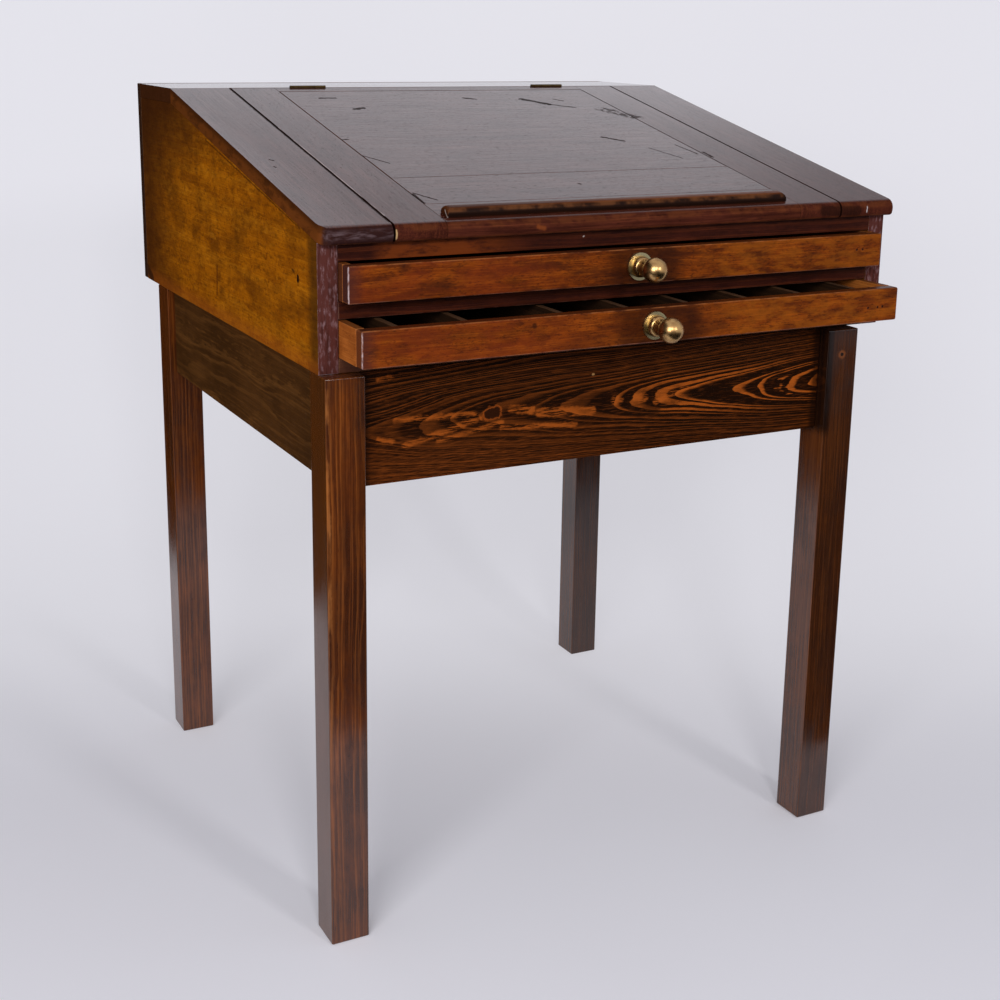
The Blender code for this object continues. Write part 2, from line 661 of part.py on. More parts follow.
def build_drawer(name, base, rest, pivot):
    """One drawer, open by its rest distance. Gives the corners of the space inside it."""
    front_y = case_front - rest
    front_back = front_y + DRAWER_FRONT
    left = inner_left + DRAWER_SIDE_CLEARANCE
    right = inner_right - DRAWER_SIDE_CLEARANCE
    back = front_y + (side_back - case_front) - DRAWER_BACK_CLEARANCE
    top = base + drawer_height
    bottom_low = base + DRAWER_BOTTOM_RAISE
    bottom_top_z = bottom_low + DRAWER_BOTTOM

    bottom_corners = ((left + DRAWER_SIDE - DRAWER_GROOVE, front_back - DRAWER_GROOVE, bottom_low),
                      (right - DRAWER_SIDE + DRAWER_GROOVE, back, bottom_top_z))
    make_box(f"{name}_bottom", *bottom_corners, pivot, inner_wood)
    bottom_groove = make_box(f"{name}_bottom_groove", *grown(*bottom_corners), pivot)

    front = make_box(f"{name}_front", (left, front_y, base), (right, front_back, top), pivot, drawer_wood)
    for hand, x in (("left", left), ("right", right - DRAWER_SIDE)):
        tongue_x = x + (DRAWER_SIDE - DRAWER_TONGUE_THICKNESS) / 2
        side, tongue_groove = tenoned_board(
            f"{name}_side_{hand}",
            (x, front_back + JOINT_GAP, base),
            (x + DRAWER_SIDE, back, top),
            (tongue_x, front_back - DRAWER_TONGUE_LENGTH, base + DRAWER_TONGUE_STOP),
            (tongue_x + DRAWER_TONGUE_THICKNESS, back - DRAWER_BACK, top - DRAWER_TONGUE_STOP),
            pivot, drawer_wood)
        cut(side, bottom_groove)
        cut(front, tongue_groove)
    cut(front, bottom_groove)

    knob_z = base + drawer_height / 2
    hole = make_rod(f"{name}_knob_hole", KNOB_SHANK_RADIUS + KNOB_HOLE_CLEARANCE,
                    (0, front_y - DRAWER_FRONT, knob_z), (0, front_back + DRAWER_FRONT, knob_z), "Y", pivot)
    cut(front, hole)
    build_knob(f"{name}_knob", (0, front_y - JOINT_GAP, knob_z), pivot)
    nut_start = front_back + JOINT_GAP
    nut = make_rod(f"{name}_knob_nut", NUT_RADIUS, (0, nut_start, knob_z),
                   (0, nut_start + NUT_THICKNESS, knob_z), "Y", pivot, knob_brass)
    cut(nut, hole)

    inside_low = Vector((left + DRAWER_SIDE + JOINT_GAP, front_back + JOINT_GAP, bottom_top_z + JOINT_GAP))
    inside_high = Vector((right - DRAWER_SIDE - JOINT_GAP, back - DRAWER_BACK - JOINT_GAP, top))
    make_box(f"{name}_back", (inside_low.x, back - DRAWER_BACK, inside_low.z),
             (inside_high.x, back, top - DRAWER_BACK_DROP), pivot, inner_wood)
    return inside_low, inside_high


def build_dividers(name, inside_low, inside_high, pivot):
    """Thin boards that part a drawer from front to back into compartments of unlike widths."""
    shares = COMPARTMENT_SHARES
    clear = inside_high.x - inside_low.x - DIVIDER_THICKNESS * (len(shares) - 1)
    x = inside_low.x
    for count, share in enumerate(shares[:-1], 1):
        x += clear * share / sum(shares)
        make_box(f"{name}_divider_{count}", (x, inside_low.y, inside_low.z),
                 (x + DIVIDER_THICKNESS, inside_high.y, inside_high.z - DIVIDER_DROP), pivot, inner_wood)
        x += DIVIDER_THICKNESS


build_stand()
build_case()
pockets = build_hinge_pockets()
build_top(pockets)
build_lid(pockets)
build_hinges()
build_drawer("upper_drawer", upper_base, UPPER_DRAWER_REST, upper_frame)
lower_inside = build_drawer("lower_drawer", lower_base, LOWER_DRAWER_REST, lower_frame)
build_dividers("lower_drawer", *lower_inside, lower_frame)
bpy.context.view_layer.update()

print("flat top at", round(flat_top_z, 4), "nose at", round(slope_point(nose_s, 0)[1], 4))
print("case from y", round(case_front, 4), "to", round(case_back, 4), "hinge axis at y", round(hinge_y, 5),
      "z", round(hinge_z, 5))
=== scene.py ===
# %% [markdown]
# # A writing bureau of stained wood and brass
# The bureau is a shallow sloping box on a separate stand. Its boards, hinges and knobs are already
# modelled as solids, so this lesson loads them as a fixed frame and gives each one its finish: old stain,
# grain, polish and wear.

# %% Load the solids
import json
import math

import bpy
from mathutils import Matrix, Vector

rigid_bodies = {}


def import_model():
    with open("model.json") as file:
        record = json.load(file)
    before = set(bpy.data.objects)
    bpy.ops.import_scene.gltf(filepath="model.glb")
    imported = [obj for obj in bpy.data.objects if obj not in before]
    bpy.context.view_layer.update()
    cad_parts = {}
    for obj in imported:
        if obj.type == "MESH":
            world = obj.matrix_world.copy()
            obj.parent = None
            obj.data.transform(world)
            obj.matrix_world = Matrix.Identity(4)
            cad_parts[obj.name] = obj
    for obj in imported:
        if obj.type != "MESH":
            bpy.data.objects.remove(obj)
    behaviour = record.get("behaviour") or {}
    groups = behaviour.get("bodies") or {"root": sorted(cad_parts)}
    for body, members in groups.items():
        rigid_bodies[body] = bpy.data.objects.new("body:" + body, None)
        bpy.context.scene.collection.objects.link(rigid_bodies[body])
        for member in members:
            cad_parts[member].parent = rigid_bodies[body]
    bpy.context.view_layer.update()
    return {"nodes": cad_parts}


for leftover in list(bpy.data.objects):
    bpy.data.objects.remove(leftover)
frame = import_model()
scene = bpy.context.scene
scene.view_settings.view_transform = "Standard"

# %% [markdown]
# ## The camera
# The photograph was taken from the left of the front, a little above the writing slope. A camera can be
# aimed by eye, but here its place and direction were worked out from the long straight edges of the box,
# so they are given as numbers. The picture's axis lies above the middle of the frame, which a small shift
# repeats.

# %% Place the camera
CAMERA_PLACE = Vector((-0.87767, -1.67333, 0.96799))
CAMERA_AIM = Vector((0.44871955, 0.86136232, -0.23812963))
CAMERA_ROLL = math.radians(0.842)
SENSOR_WIDTH, LENS_LENGTH = 36.0, 55.04
AXIS_ABOVE_MIDDLE = 0.1005
UP = Vector((0, 0, 1))


def add_object(name, data):
    """Puts a camera, a lamp or a mesh into the scene."""
    added = bpy.data.objects.new(name, data)
    scene.collection.objects.link(added)
    return added


level_right = CAMERA_AIM.cross(UP).normalized()
level_up = level_right.cross(CAMERA_AIM)
rolled_right = level_right * math.cos(CAMERA_ROLL) + level_up * math.sin(CAMERA_ROLL)
rolled_up = level_up * math.cos(CAMERA_ROLL) - level_right * math.sin(CAMERA_ROLL)
turn = Matrix((rolled_right, rolled_up, -CAMERA_AIM)).transposed().to_4x4()

lens = bpy.data.cameras.new("photograph_camera")
lens.sensor_fit = "HORIZONTAL"
lens.sensor_width = SENSOR_WIDTH
lens.lens = LENS_LENGTH
lens.shift_y = -AXIS_ABOVE_MIDDLE
camera = add_object("photograph_camera", lens)
camera.matrix_world = Matrix.Translation(CAMERA_PLACE) @ turn
scene.camera = camera
print("camera height in metres:", round(CAMERA_PLACE.z, 3))

# %% [markdown]
# ## Node helpers
# Every finish here is a tree of shader nodes. A few short helpers keep the cells readable: they add a
# node and fill its inputs, do arithmetic, turn any value into a soft mask from 0 to 1, and mix colours.
# Colours are written as a screen shows them, because that is how a maker would match them by eye.

# %% Helpers that add nodes
def put(tree, kind, options=None, sockets=None):
    """Adds a node, sets its options, then fills each input or links it to the output that is given."""
    node = tree.nodes.new(kind)
    for option, value in (options or {}).items():
        setattr(node, option, value)
    for socket, value in (sockets or {}).items():
        if isinstance(value, bpy.types.NodeSocket):
            tree.links.new(value, node.inputs[socket])
        else:
            node.inputs[socket].default_value = value
    return node


def reckon(tree, rule, *values):
    """One sum on plain values, such as ADD or MULTIPLY."""
    return put(tree, "ShaderNodeMath", {"operation": rule}, dict(enumerate(values))).outputs[0]


def vector(tree, rule, first, second=None):
    """One sum on vectors. LENGTH, DISTANCE and DOT_PRODUCT give a plain value."""
    sockets = {0: first}
    if second is not None:
        sockets["Scale" if rule == "SCALE" else 1] = second
    outputs = put(tree, "ShaderNodeVectorMath", {"operation": rule}, sockets).outputs
    return outputs["Value" if rule in ("LENGTH", "DISTANCE", "DOT_PRODUCT") else "Vector"]


def ease(tree, value, low, high):
    """A mask that rises smoothly from 0 at low to 1 at high. With high below low, it falls."""
    sockets = {"Value": value, "From Min": low, "From Max": high}
    return put(tree, "ShaderNodeMapRange", {"interpolation_type": "SMOOTHSTEP"}, sockets).outputs["Result"]


def noise(tree, place, detail=2.0, roughness=0.5, output="Fac"):
    """Cloudy noise. Its size comes from how far the place vector has been stretched."""
    sockets = {"Vector": place, "Scale": 1.0, "Detail": detail, "Roughness": roughness}
    return put(tree, "ShaderNodeTexNoise", None, sockets).outputs[output]


def stretch(tree, place, *proportions):
    """Stretches a place vector, so that noise on it runs long in one direction and short in another."""
    return vector(tree, "MULTIPLY", place, proportions)


def stain(red, green, blue):
    """Turns a colour as a screen shows it, 0 to 255, into the linear colour that shaders mix."""
    shown = [value / 255 for value in (red, green, blue)]
    return tuple(v / 12.92 if v <= 0.04045 else ((v + 0.055) / 1.055) ** 2.4 for v in shown) + (1.0,)


def mix_colour(tree, amount, first, second):
    """The first colour where amount is 0 and the second where it is 1."""
    first, second = [stain(*colour) if isinstance(colour, tuple) else colour for colour in (first, second)]
    return put(tree, "ShaderNodeMix", {"data_type": "RGBA"}, {0: amount, 6: first, 7: second}).outputs[2]


def new_material(name):
    """An empty material. Returns it with its tree, its shader and its coordinates."""
    material = bpy.data.materials.new(name)
    material.use_nodes = True
    tree = material.node_tree
    return material, tree, tree.nodes["Principled BSDF"], put(tree, "ShaderNodeTexCoord").outputs


print("a middle grey of 128 is", round(stain(128, 128, 128)[0], 3), "in linear light")

# %% [markdown]
# ## The studio
# Furniture is often photographed on a roll of pale paper that curves up behind it, so there is no line
# where the floor ends. The roll stands square to the camera and not to the bureau, so places in the
# studio are measured from the camera's line of sight. A plain plane would do for the floor, but the curve
# also takes the soft shadows of the legs. The paper can be looked through from behind, so that the
# bureau's back shows too.

# %% Paper sweep
PAPER_SIDE = 5.0
PAPER_NEAR = -6.0
PAPER_BEND_STARTS = 0.44
PAPER_BEND_RADIUS = 0.55
PAPER_BEND_STEPS = 24
PAPER_TOP = 4.0
PAPER_SINK = -0.0006
level_ahead = UP.cross(level_right)


def studio(across, ahead, height):
    """A place in the studio: to the right of the camera's line, ahead past the bureau's middle, and up."""
    return level_right * across + level_ahead * ahead + UP * height


profile = [(PAPER_NEAR, PAPER_SINK), (PAPER_BEND_STARTS, PAPER_SINK)]
for step in range(1, PAPER_BEND_STEPS + 1):
    angle = math.pi / 2 * step / PAPER_BEND_STEPS
    reach = PAPER_BEND_STARTS + PAPER_BEND_RADIUS * math.sin(angle)
    rise = PAPER_SINK + PAPER_BEND_RADIUS * (1 - math.cos(angle))
    profile.append((reach, rise))
profile.append((profile[-1][0], PAPER_TOP))
corners = [studio(side, ahead, z) for ahead, z in profile for side in (-PAPER_SIDE, PAPER_SIDE)]
strips = [(2 * i, 2 * i + 1, 2 * i + 3, 2 * i + 2) for i in range(len(profile) - 1)]
paper_mesh = bpy.data.meshes.new("paper_sweep")
paper_mesh.from_pydata(corners, [], strips)
for strip in paper_mesh.polygons:
    strip.use_smooth = True
paper = add_object("paper_sweep", paper_mesh)
print("paper sweep has", len(strips), "strips")

# %% [markdown]
# The paper is a dull white with a faint cloudiness. Towards the wall it takes less of the lamps' light
# and glows by itself instead, where it is looked at, so that the wall stays even and only the floor keeps
# strong shadows. It glows most just above the camera's view, because the bureau's level top mirrors that
# part, and less far to the right, where the mirrored wall grows dark. Both of these only show in
# reflections. Under the lamps the paper is greyer, so that it doesn't glare when the bureau is looked at
# from behind.

# %% Paper's finish
PAPER_DULL, PAPER_BRIGHT = (235, 233, 240), (241, 240, 247)
WALL_LIT, UNDER_LAMPS = (168, 168, 172), (150, 150, 154)
UNDER_LAMPS_SHARE = 0.8
CLOUDS_IN_A_METRE = 1.3
WALL_STARTS, WALL_IS_WHOLE = -0.20, 0.52
LAMPS_START, LAMPS_ARE_ABOVE = -1.3, -2.6
VIEW_ENDS, ABOVE_VIEW_IS_WHOLE = 1.03, 1.07
TOP_MIRROR_ENDS, TOP_MIRROR_IS_WHOLE = 1.32, 1.14
FAR_RIGHT_STARTS, FAR_RIGHT_IS_WHOLE = 0.30, 0.95
FLOOR_GLOW = 0.09
WALL_GLOW = 0.47
ABOVE_VIEW_GLOW = 0.16
TOP_MIRROR_GLOW = 0.14
FAR_RIGHT_LOSS = -0.45


def looked_at(tree, ray):
    """1 for rays from the camera, from mirrors and through clear things, and 0 for the rest."""
    seen = reckon(tree, "MAXIMUM", ray["Is Camera Ray"], ray["Is Glossy Ray"])
    return reckon(tree, "MAXIMUM", seen, ray["Is Transmission Ray"])


paper_finish, tree, shader, coordinates = new_material("pale_paper")
place = coordinates["Object"]
height = put(tree, "ShaderNodeSeparateXYZ", None, {0: place}).outputs["Z"]
ahead = vector(tree, "DOT_PRODUCT", place, level_ahead)
across = vector(tree, "DOT_PRODUCT", place, level_right)
cloud = noise(tree, stretch(tree, place, *[CLOUDS_IN_A_METRE] * 3))
paper_colour = mix_colour(tree, cloud, PAPER_DULL, PAPER_BRIGHT)
on_wall = ease(tree, ahead, WALL_STARTS, WALL_IS_WHOLE)
under_lamps = reckon(tree, "MULTIPLY", ease(tree, ahead, LAMPS_START, LAMPS_ARE_ABOVE), UNDER_LAMPS_SHARE)
lit_colour = mix_colour(tree, on_wall, paper_colour, WALL_LIT)
lit_colour = mix_colour(tree, under_lamps, lit_colour, UNDER_LAMPS)
tree.links.new(lit_colour, shader.inputs["Base Color"])
shader.inputs["Roughness"].default_value = 0.85
shader.inputs["Specular IOR Level"].default_value = 0.1

ray = put(tree, "ShaderNodeLightPath").outputs
above = reckon(tree, "MULTIPLY", ease(tree, height, VIEW_ENDS, ABOVE_VIEW_IS_WHOLE), ray["Is Glossy Ray"])
far_right = reckon(tree, "MULTIPLY", above, ease(tree, across, FAR_RIGHT_STARTS, FAR_RIGHT_IS_WHOLE))
just_above = reckon(tree, "MULTIPLY", above, ease(tree, height, TOP_MIRROR_ENDS, TOP_MIRROR_IS_WHOLE))
glow = reckon(tree, "MULTIPLY_ADD", on_wall, WALL_GLOW, FLOOR_GLOW)
glow = reckon(tree, "MULTIPLY_ADD", above, ABOVE_VIEW_GLOW, glow)
glow = reckon(tree, "MULTIPLY_ADD", just_above, TOP_MIRROR_GLOW, glow)
glow = reckon(tree, "MULTIPLY_ADD", far_right, FAR_RIGHT_LOSS, glow)
glow = reckon(tree, "MULTIPLY", glow, looked_at(tree, ray))
tree.links.new(mix_colour(tree, glow, (0, 0, 0), paper_colour), shader.inputs["Emission Color"])
shader.inputs["Emission Strength"].default_value = 1.0
behind = put(tree, "ShaderNodeNewGeometry").outputs["Backfacing"]
clear = put(tree, "ShaderNodeBsdfTransparent").outputs[0]
either = put(tree, "ShaderNodeMixShader", None, {0: behind, 1: shader.outputs[0], 2: clear})
tree.links.new(either.outputs[0], tree.nodes["Material Output"].inputs["Surface"])
paper_finish.cycles.emission_sampling = "NONE"
paper_mesh.materials.append(paper_finish)
print("paper finish:", paper_finish.name)

# %% [markdown]
# ## Lamps
# The faint shadows of the legs tell how the bureau was lit: a big soft lamp stands to the left of the
# camera, and two small ones stand just right of it and further right. The small ones are also the two
# bright dots on each knob. A lamp's power is worked out from how bright its face should look, so that
# size and brightness can be changed one at a time.

# %% Lamps
LAMP_AIM = Vector((0, 0, 0.6))
LAMPS = {
    "left_lamp": {"place": (-1.03, -3.58, 1.95), "side": 1.75, "brightness": 6.7},
    "camera_lamp": {"place": (0.54, -3.23, 2.08), "side": 0.47, "brightness": 31.0},
    "right_lamp": {"place": (2.28, -2.92, 2.08), "side": 0.47, "brightness": 34.0},
}
for name, facts in LAMPS.items():
    lamp = bpy.data.lights.new(name, "AREA")
    lamp.shape = "SQUARE"
    lamp.size = facts["side"]
    lamp.energy = facts["brightness"] * math.pi * facts["side"] ** 2
    stand = add_object(name, lamp)
    stand.location = studio(*facts["place"])
    stand.rotation_euler = (LAMP_AIM - stand.location).to_track_quat("-Z", "Y").to_euler()
    stand.visible_camera = False
print("lamps:", list(LAMPS))

# %% [markdown]
# The room's own light is a soft pale glow. Light Path tells which kind of ray is asking: the camera and
# the reflections see a pale wall, and the wood gets a gentler fill.

# %% Room light
FILL_COLOUR, FILL_STRENGTH = (236, 238, 246), 0.35
ROOM_WALL_COLOUR, ROOM_WALL_STRENGTH = (236, 236, 244), 0.92
room = bpy.data.worlds.new("pale_room")
scene.world = room
room.use_nodes = True
tree = room.node_tree
tree.nodes.clear()
fill = put(tree, "ShaderNodeBackground", None, {"Color": stain(*FILL_COLOUR), "Strength": FILL_STRENGTH})
wall = put(tree, "ShaderNodeBackground", None,
           {"Color": stain(*ROOM_WALL_COLOUR), "Strength": ROOM_WALL_STRENGTH})
seen = looked_at(tree, put(tree, "ShaderNodeLightPath").outputs)
room_mix = put(tree, "ShaderNodeMixShader", None, {0: seen, 1: fill.outputs[0], 2: wall.outputs[0]})
put(tree, "ShaderNodeOutputWorld", None, {"Surface": room_mix.outputs[0]})
room.cycles.sampling_method = "NONE"
print("room light nodes:", len(tree.nodes))

# %% [markdown]
# Polished wood mirrors whatever is in front of it, so a photographer keeps some reflections out with
# black cards. One stands at the left, one lies in front of the bureau, and one stands behind the camera.
# They only show in reflections, and without them the amber side and the drawer fronts would look milky.

# %% Black cards
black, tree, shader, coordinates = new_material("black_card")
card_cloud = noise(tree, stretch(tree, coordinates["Object"], 9, 9, 9))
tree.links.new(mix_colour(tree, card_cloud, (4, 4, 4), (12, 12, 12)), shader.inputs["Base Color"])
shader.inputs["Specular IOR Level"].default_value = 0.0

CARD_LEFT, CARD_RIGHT = -0.90, 3.5
CARD_FAR = -4.6
CARD_LIFT = 0.002
LEFT_CARD_STARTS, LEFT_CARD_ENDS, LEFT_CARD_TOP = -1.8, 0.98, 2.3
FRONT_CARD_TOP = 1.3
CARDS = {
    "left_card": [(CARD_LEFT, LEFT_CARD_STARTS, CARD_LIFT), (CARD_LEFT, LEFT_CARD_ENDS, CARD_LIFT),
                  (CARD_LEFT, LEFT_CARD_ENDS, LEFT_CARD_TOP), (CARD_LEFT, LEFT_CARD_STARTS, LEFT_CARD_TOP)],
    "floor_card": [(CARD_LEFT, -1.48, CARD_LIFT), (0.20, -0.77, CARD_LIFT), (0.58, -0.20, CARD_LIFT),
                   (1.00, -0.05, CARD_LIFT), (CARD_RIGHT, 0.10, CARD_LIFT),
                   (CARD_RIGHT, CARD_FAR, CARD_LIFT), (CARD_LEFT, CARD_FAR, CARD_LIFT)],
    "front_card": [(CARD_LEFT, CARD_FAR, 0.0), (CARD_RIGHT, CARD_FAR, 0.0),
                   (CARD_RIGHT, CARD_FAR, FRONT_CARD_TOP), (CARD_LEFT, CARD_FAR, FRONT_CARD_TOP)],
}
for name, places in CARDS.items():
    sheet = bpy.data.meshes.new(name)
    sheet.from_pydata([studio(*place) for place in places], [], [tuple(range(len(places)))])
    sheet.materials.append(black)
    card = add_object(name, sheet)
    card.visible_camera = False
    card.visible_diffuse = False
    card.visible_shadow = False
    card.visible_transmission = False
print(len(CARDS), "black cards only show in reflections")

# %% [markdown]
# ## Soft arrises
# An arris is the sharp line where two faces of a board meet. On old furniture it is worn round, and that
# thin rounded strip catches the light. The solids come in as loose triangles, so a small tree of geometry
# nodes first welds them, and a Bevel modifier then rounds each sharp edge. The meshes themselves stay as
# they are.

# %% Weld and round the edges
SHARP_ANGLE = math.radians(32)
WELD_DISTANCE = 0.00002
ARRIS_STEPS = 3
ARRIS = {"leg": 0.0016, "apron": 0.0008, "side": 0.0008, "back_board": 0.0010, "bottom_board": 0.0010,
         "mid_rail": 0.0010, "top_rail": 0.0010, "well_floor": 0.0005, "runner": 0.0006, "flat_top": 0.0010,
         "cheek": 0.0009, "lid_stile": 0.0007, "lid_front": 0.0007, "lid_back": 0.0005, "lid_panel": 0.0005,
         "book_rest": 0.0005, "divider": 0.0006, "drawer_front": 0.0018, "drawer_side": 0.0008,
         "drawer_back": 0.0008, "drawer_bottom": 0.0003, "hinge": 0.0, "knob": 0.0}

weld = bpy.data.node_groups.new("weld_and_smooth", "GeometryNodeTree")
weld.interface.new_socket("Geometry", in_out="INPUT", socket_type="NodeSocketGeometry")
weld.interface.new_socket("Geometry", in_out="OUTPUT", socket_type="NodeSocketGeometry")
loose = weld.nodes.new("NodeGroupInput").outputs[0]
merged = put(weld, "GeometryNodeMergeByDistance", None, {"Geometry": loose, "Distance": WELD_DISTANCE})
edge_angle = put(weld, "GeometryNodeInputMeshEdgeAngle").outputs["Unsigned Angle"]
sharp = put(weld, "FunctionNodeCompare", {"data_type": "FLOAT", "operation": "GREATER_THAN"},
            {0: edge_angle, 1: SHARP_ANGLE}).outputs[0]
smoothed = put(weld, "GeometryNodeSetMeshNormal", {"mode": "SHARPNESS"},
               {"Mesh": merged.outputs[0], "Remove Custom": True, "Edge Sharpness": sharp,
                "Face Sharpness": False})
weld.links.new(smoothed.outputs[0], weld.nodes.new("NodeGroupOutput").inputs[0])

for node, solid in frame["nodes"].items():
    width = ARRIS[max((kind for kind in ARRIS if kind in node), key=len)]
    solid.modifiers.new("weld_and_smooth", "NODES").node_group = weld
    if width > 0:
        rounding = solid.modifiers.new("worn_arris", "BEVEL")
        rounding.width = width
        rounding.segments = ARRIS_STEPS
        rounding.limit_method = "ANGLE"
        rounding.angle_limit = SHARP_ANGLE
        rounding.harden_normals = True
print("softened", len(frame["nodes"]), "solids")

# %% [markdown]
# ## Grain
# A tree grows a ring each year, so a log is a bundle of thin cones, and a board shows where the saw cut
# them. An image would repeat from board to board. Here each board is cut out of a log made of arithmetic:
# the distance from the log's heart, divided by the width of a ring, tells which ring a point is in.
# Fibres, pores and a slow cloudiness come from noise that is stretched along the board.

# %% Group: board grain
GRAIN_SIZES = ["Ring Width", "Wander", "Tremble", "Fibre Width", "Mottle Size"]
MIDDLE_OF_NOISE = (0.5, 0.5, 0.5)
GOOD_YEARS_COME, GOOD_YEARS_SHOW = 0.45, 2.6


def new_group(name, inputs, outputs):
    """An empty shader group with sockets named by kind. Returns the group, its inputs and its outputs."""
    group = bpy.data.node_groups.new(name, "ShaderNodeTree")
    for way, sockets in (("INPUT", inputs), ("OUTPUT", outputs)):
        for kind, labels in sockets.items():
            for label in labels:
                group.interface.new_socket(label, in_out=way, socket_type="NodeSocket" + kind)
    return group, group.nodes.new("NodeGroupInput").outputs, group.nodes.new("NodeGroupOutput").inputs


def shrink(tree, place, size):
    """Divides a place vector by a size, so that noise on it comes out that big."""
    return vector(tree, "SCALE", place, reckon(tree, "DIVIDE", 1.0, size))


grain, given, made = new_group("Board grain", {"Vector": ["Board"], "Float": GRAIN_SIZES},
                               {"Float": ["Rings", "Fibres", "Pores", "Mottle"]})
board = given["Board"]
slow = noise(grain, stretch(grain, board, 3.0, 14.0, 14.0), 2.5, output="Color")
drift = vector(grain, "SCALE", vector(grain, "SUBTRACT", slow, MIDDLE_OF_NOISE), given["Wander"])
bent = vector(grain, "ADD", board, drift)
heart_distance = vector(grain, "LENGTH", stretch(grain, bent, 0.0, 1.0, 1.0))
years = reckon(grain, "DIVIDE", heart_distance, given["Ring Width"])
good_years = put(grain, "ShaderNodeTexNoise", {"noise_dimensions": "1D"},
                 {"W": years, "Scale": GOOD_YEARS_COME, "Detail": 2.0}).outputs["Fac"]
years = reckon(grain, "ADD", years, reckon(grain, "MULTIPLY", good_years, GOOD_YEARS_SHOW))
tremble = noise(grain, stretch(grain, board, 45.0, 260.0, 260.0))
years = reckon(grain, "ADD", years, reckon(grain, "MULTIPLY", tremble, given["Tremble"]))
ring = reckon(grain, "FRACT", years)
late_wood = reckon(grain, "MULTIPLY", ease(grain, ring, 0.45, 0.88), ease(grain, ring, 1.0, 0.95))
grain.links.new(late_wood, made["Rings"])

fibres = noise(grain, shrink(grain, stretch(grain, bent, 0.012, 1.0, 1.0), given["Fibre Width"]), 3.0, 0.62)
grain.links.new(ease(grain, fibres, 0.28, 0.72), made["Fibres"])
pores = noise(grain, shrink(grain, stretch(grain, board, 0.20, 1.3, 1.3), given["Fibre Width"]), 1.0)
grain.links.new(ease(grain, pores, 0.64, 0.74), made["Pores"])
mottle = noise(grain, shrink(grain, stretch(grain, board, 0.45, 1.0, 1.0), given["Mottle Size"]), 8.0, 0.68)
grain.links.new(ease(grain, mottle, 0.36, 0.64), made["Mottle"])
print("board grain uses", len(grain.nodes), "nodes")

# %% [markdown]
# ## Stain and polish
# Stain sinks deep into soft wood and hardly into hard wood, and a century of wax and hands makes it
# uneven. This group colours the grain with three tones of one stain: deep in the soft streaks, body
# between, and bright on the hard rings. It also gives a roughness, because polish is shinier where it is
# thick, and a height for the relief.

# %% Group: stained board
TONES = ["Deep", "Body", "Bright"]
SHOWS = ["Ring Show", "Fibre Show", "Pore Show", "Mottle Show"]
PORE_COLOUR = (24, 11, 6)
HARD_STREAK_SHARE = 0.45
SOFT_STREAK_OPEN = 0.4
CLOUD_DULLS, PORE_DULLS = 0.10, 0.25
RING_RELIEF = 0.6
stained, given, made = new_group(
    "Stained board",
    {"Vector": ["Board"], "Color": TONES, "Float": [*GRAIN_SIZES, *SHOWS, "Polish"]},
    {"Color": ["Colour"], "Float": ["Roughness", "Height", "Rings", "Fibres", "Open Grain"]})
cut = put(stained, "ShaderNodeGroup", {"node_tree": grain},
          {name: given[name] for name in ["Board", *GRAIN_SIZES]}).outputs


def times(first, second):
    """One value of the stained board times another."""
    return reckon(stained, "MULTIPLY", first, second)


cloudy = reckon(stained, "SUBTRACT", 1.0, cut["Mottle"])
soft_streak = reckon(stained, "SUBTRACT", 1.0, cut["Fibres"])
hard_streak = times(ease(stained, cut["Fibres"], 0.6, 1.0), given["Fibre Show"])
pore = times(cut["Pores"], given["Pore Show"])
tone = mix_colour(stained, times(cloudy, given["Mottle Show"]), given["Body"], given["Deep"])
tone = mix_colour(stained, times(cut["Rings"], given["Ring Show"]), tone, given["Bright"])
tone = mix_colour(stained, times(soft_streak, given["Fibre Show"]), tone, given["Deep"])
tone = mix_colour(stained, times(hard_streak, HARD_STREAK_SHARE), tone, given["Bright"])
tone = mix_colour(stained, pore, tone, PORE_COLOUR)
dull = reckon(stained, "ADD", times(cloudy, CLOUD_DULLS), times(pore, PORE_DULLS))
relief = reckon(stained, "ADD", cut["Fibres"], times(cut["Rings"], RING_RELIEF))
stained.links.new(tone, made["Colour"])
stained.links.new(reckon(stained, "ADD", given["Polish"], dull), made["Roughness"])
stained.links.new(reckon(stained, "SUBTRACT", relief, cut["Pores"]), made["Height"])
stained.links.new(cut["Rings"], made["Rings"])
stained.links.new(cut["Fibres"], made["Fibres"])
open_grain = reckon(stained, "MULTIPLY_ADD", soft_streak, SOFT_STREAK_OPEN, cut["Pores"])
stained.links.new(open_grain, made["Open Grain"])
print("stained board uses", len(stained.nodes), "nodes")

# %% [markdown]
# ## Wear along the arrises
# The rounded strip along an edge is where stain rubs off. A mask for it could be painted, or measured
# with the Bevel node, but the strip's own direction is enough: on a flat face the normal points straight
# along one axis of the board, and on a rounded strip it points between two. Noise then breaks the wear
# into patches. Where a pale colour is laid with this mask, it is a painted highlight on the arris.

# %% Group: worn arrises
FLAT_FACE, ROUNDED_STRIP = 0.995, 0.86
worn, given, made = new_group("Worn arrises", {"Float": ["Tilt", "Patch Size", "Amount"]},
                              {"Float": ["Wear"]})
coordinates = put(worn, "ShaderNodeTexCoord").outputs
levelled = put(worn, "ShaderNodeVectorRotate", {"rotation_type": "X_AXIS"},
               {"Vector": coordinates["Normal"], "Angle": given["Tilt"]}).outputs[0]
part = put(worn, "ShaderNodeSeparateXYZ", None, {0: vector(worn, "ABSOLUTE", levelled)}).outputs
most = reckon(worn, "MAXIMUM", reckon(worn, "MAXIMUM", part["X"], part["Y"]), part["Z"])
patches = noise(worn, shrink(worn, coordinates["Object"], given["Patch Size"]), 3.0, 0.6)
patches = ease(worn, patches, 0.36, 0.62)
worn_strip = reckon(worn, "MULTIPLY", ease(worn, most, FLAT_FACE, ROUNDED_STRIP), patches)
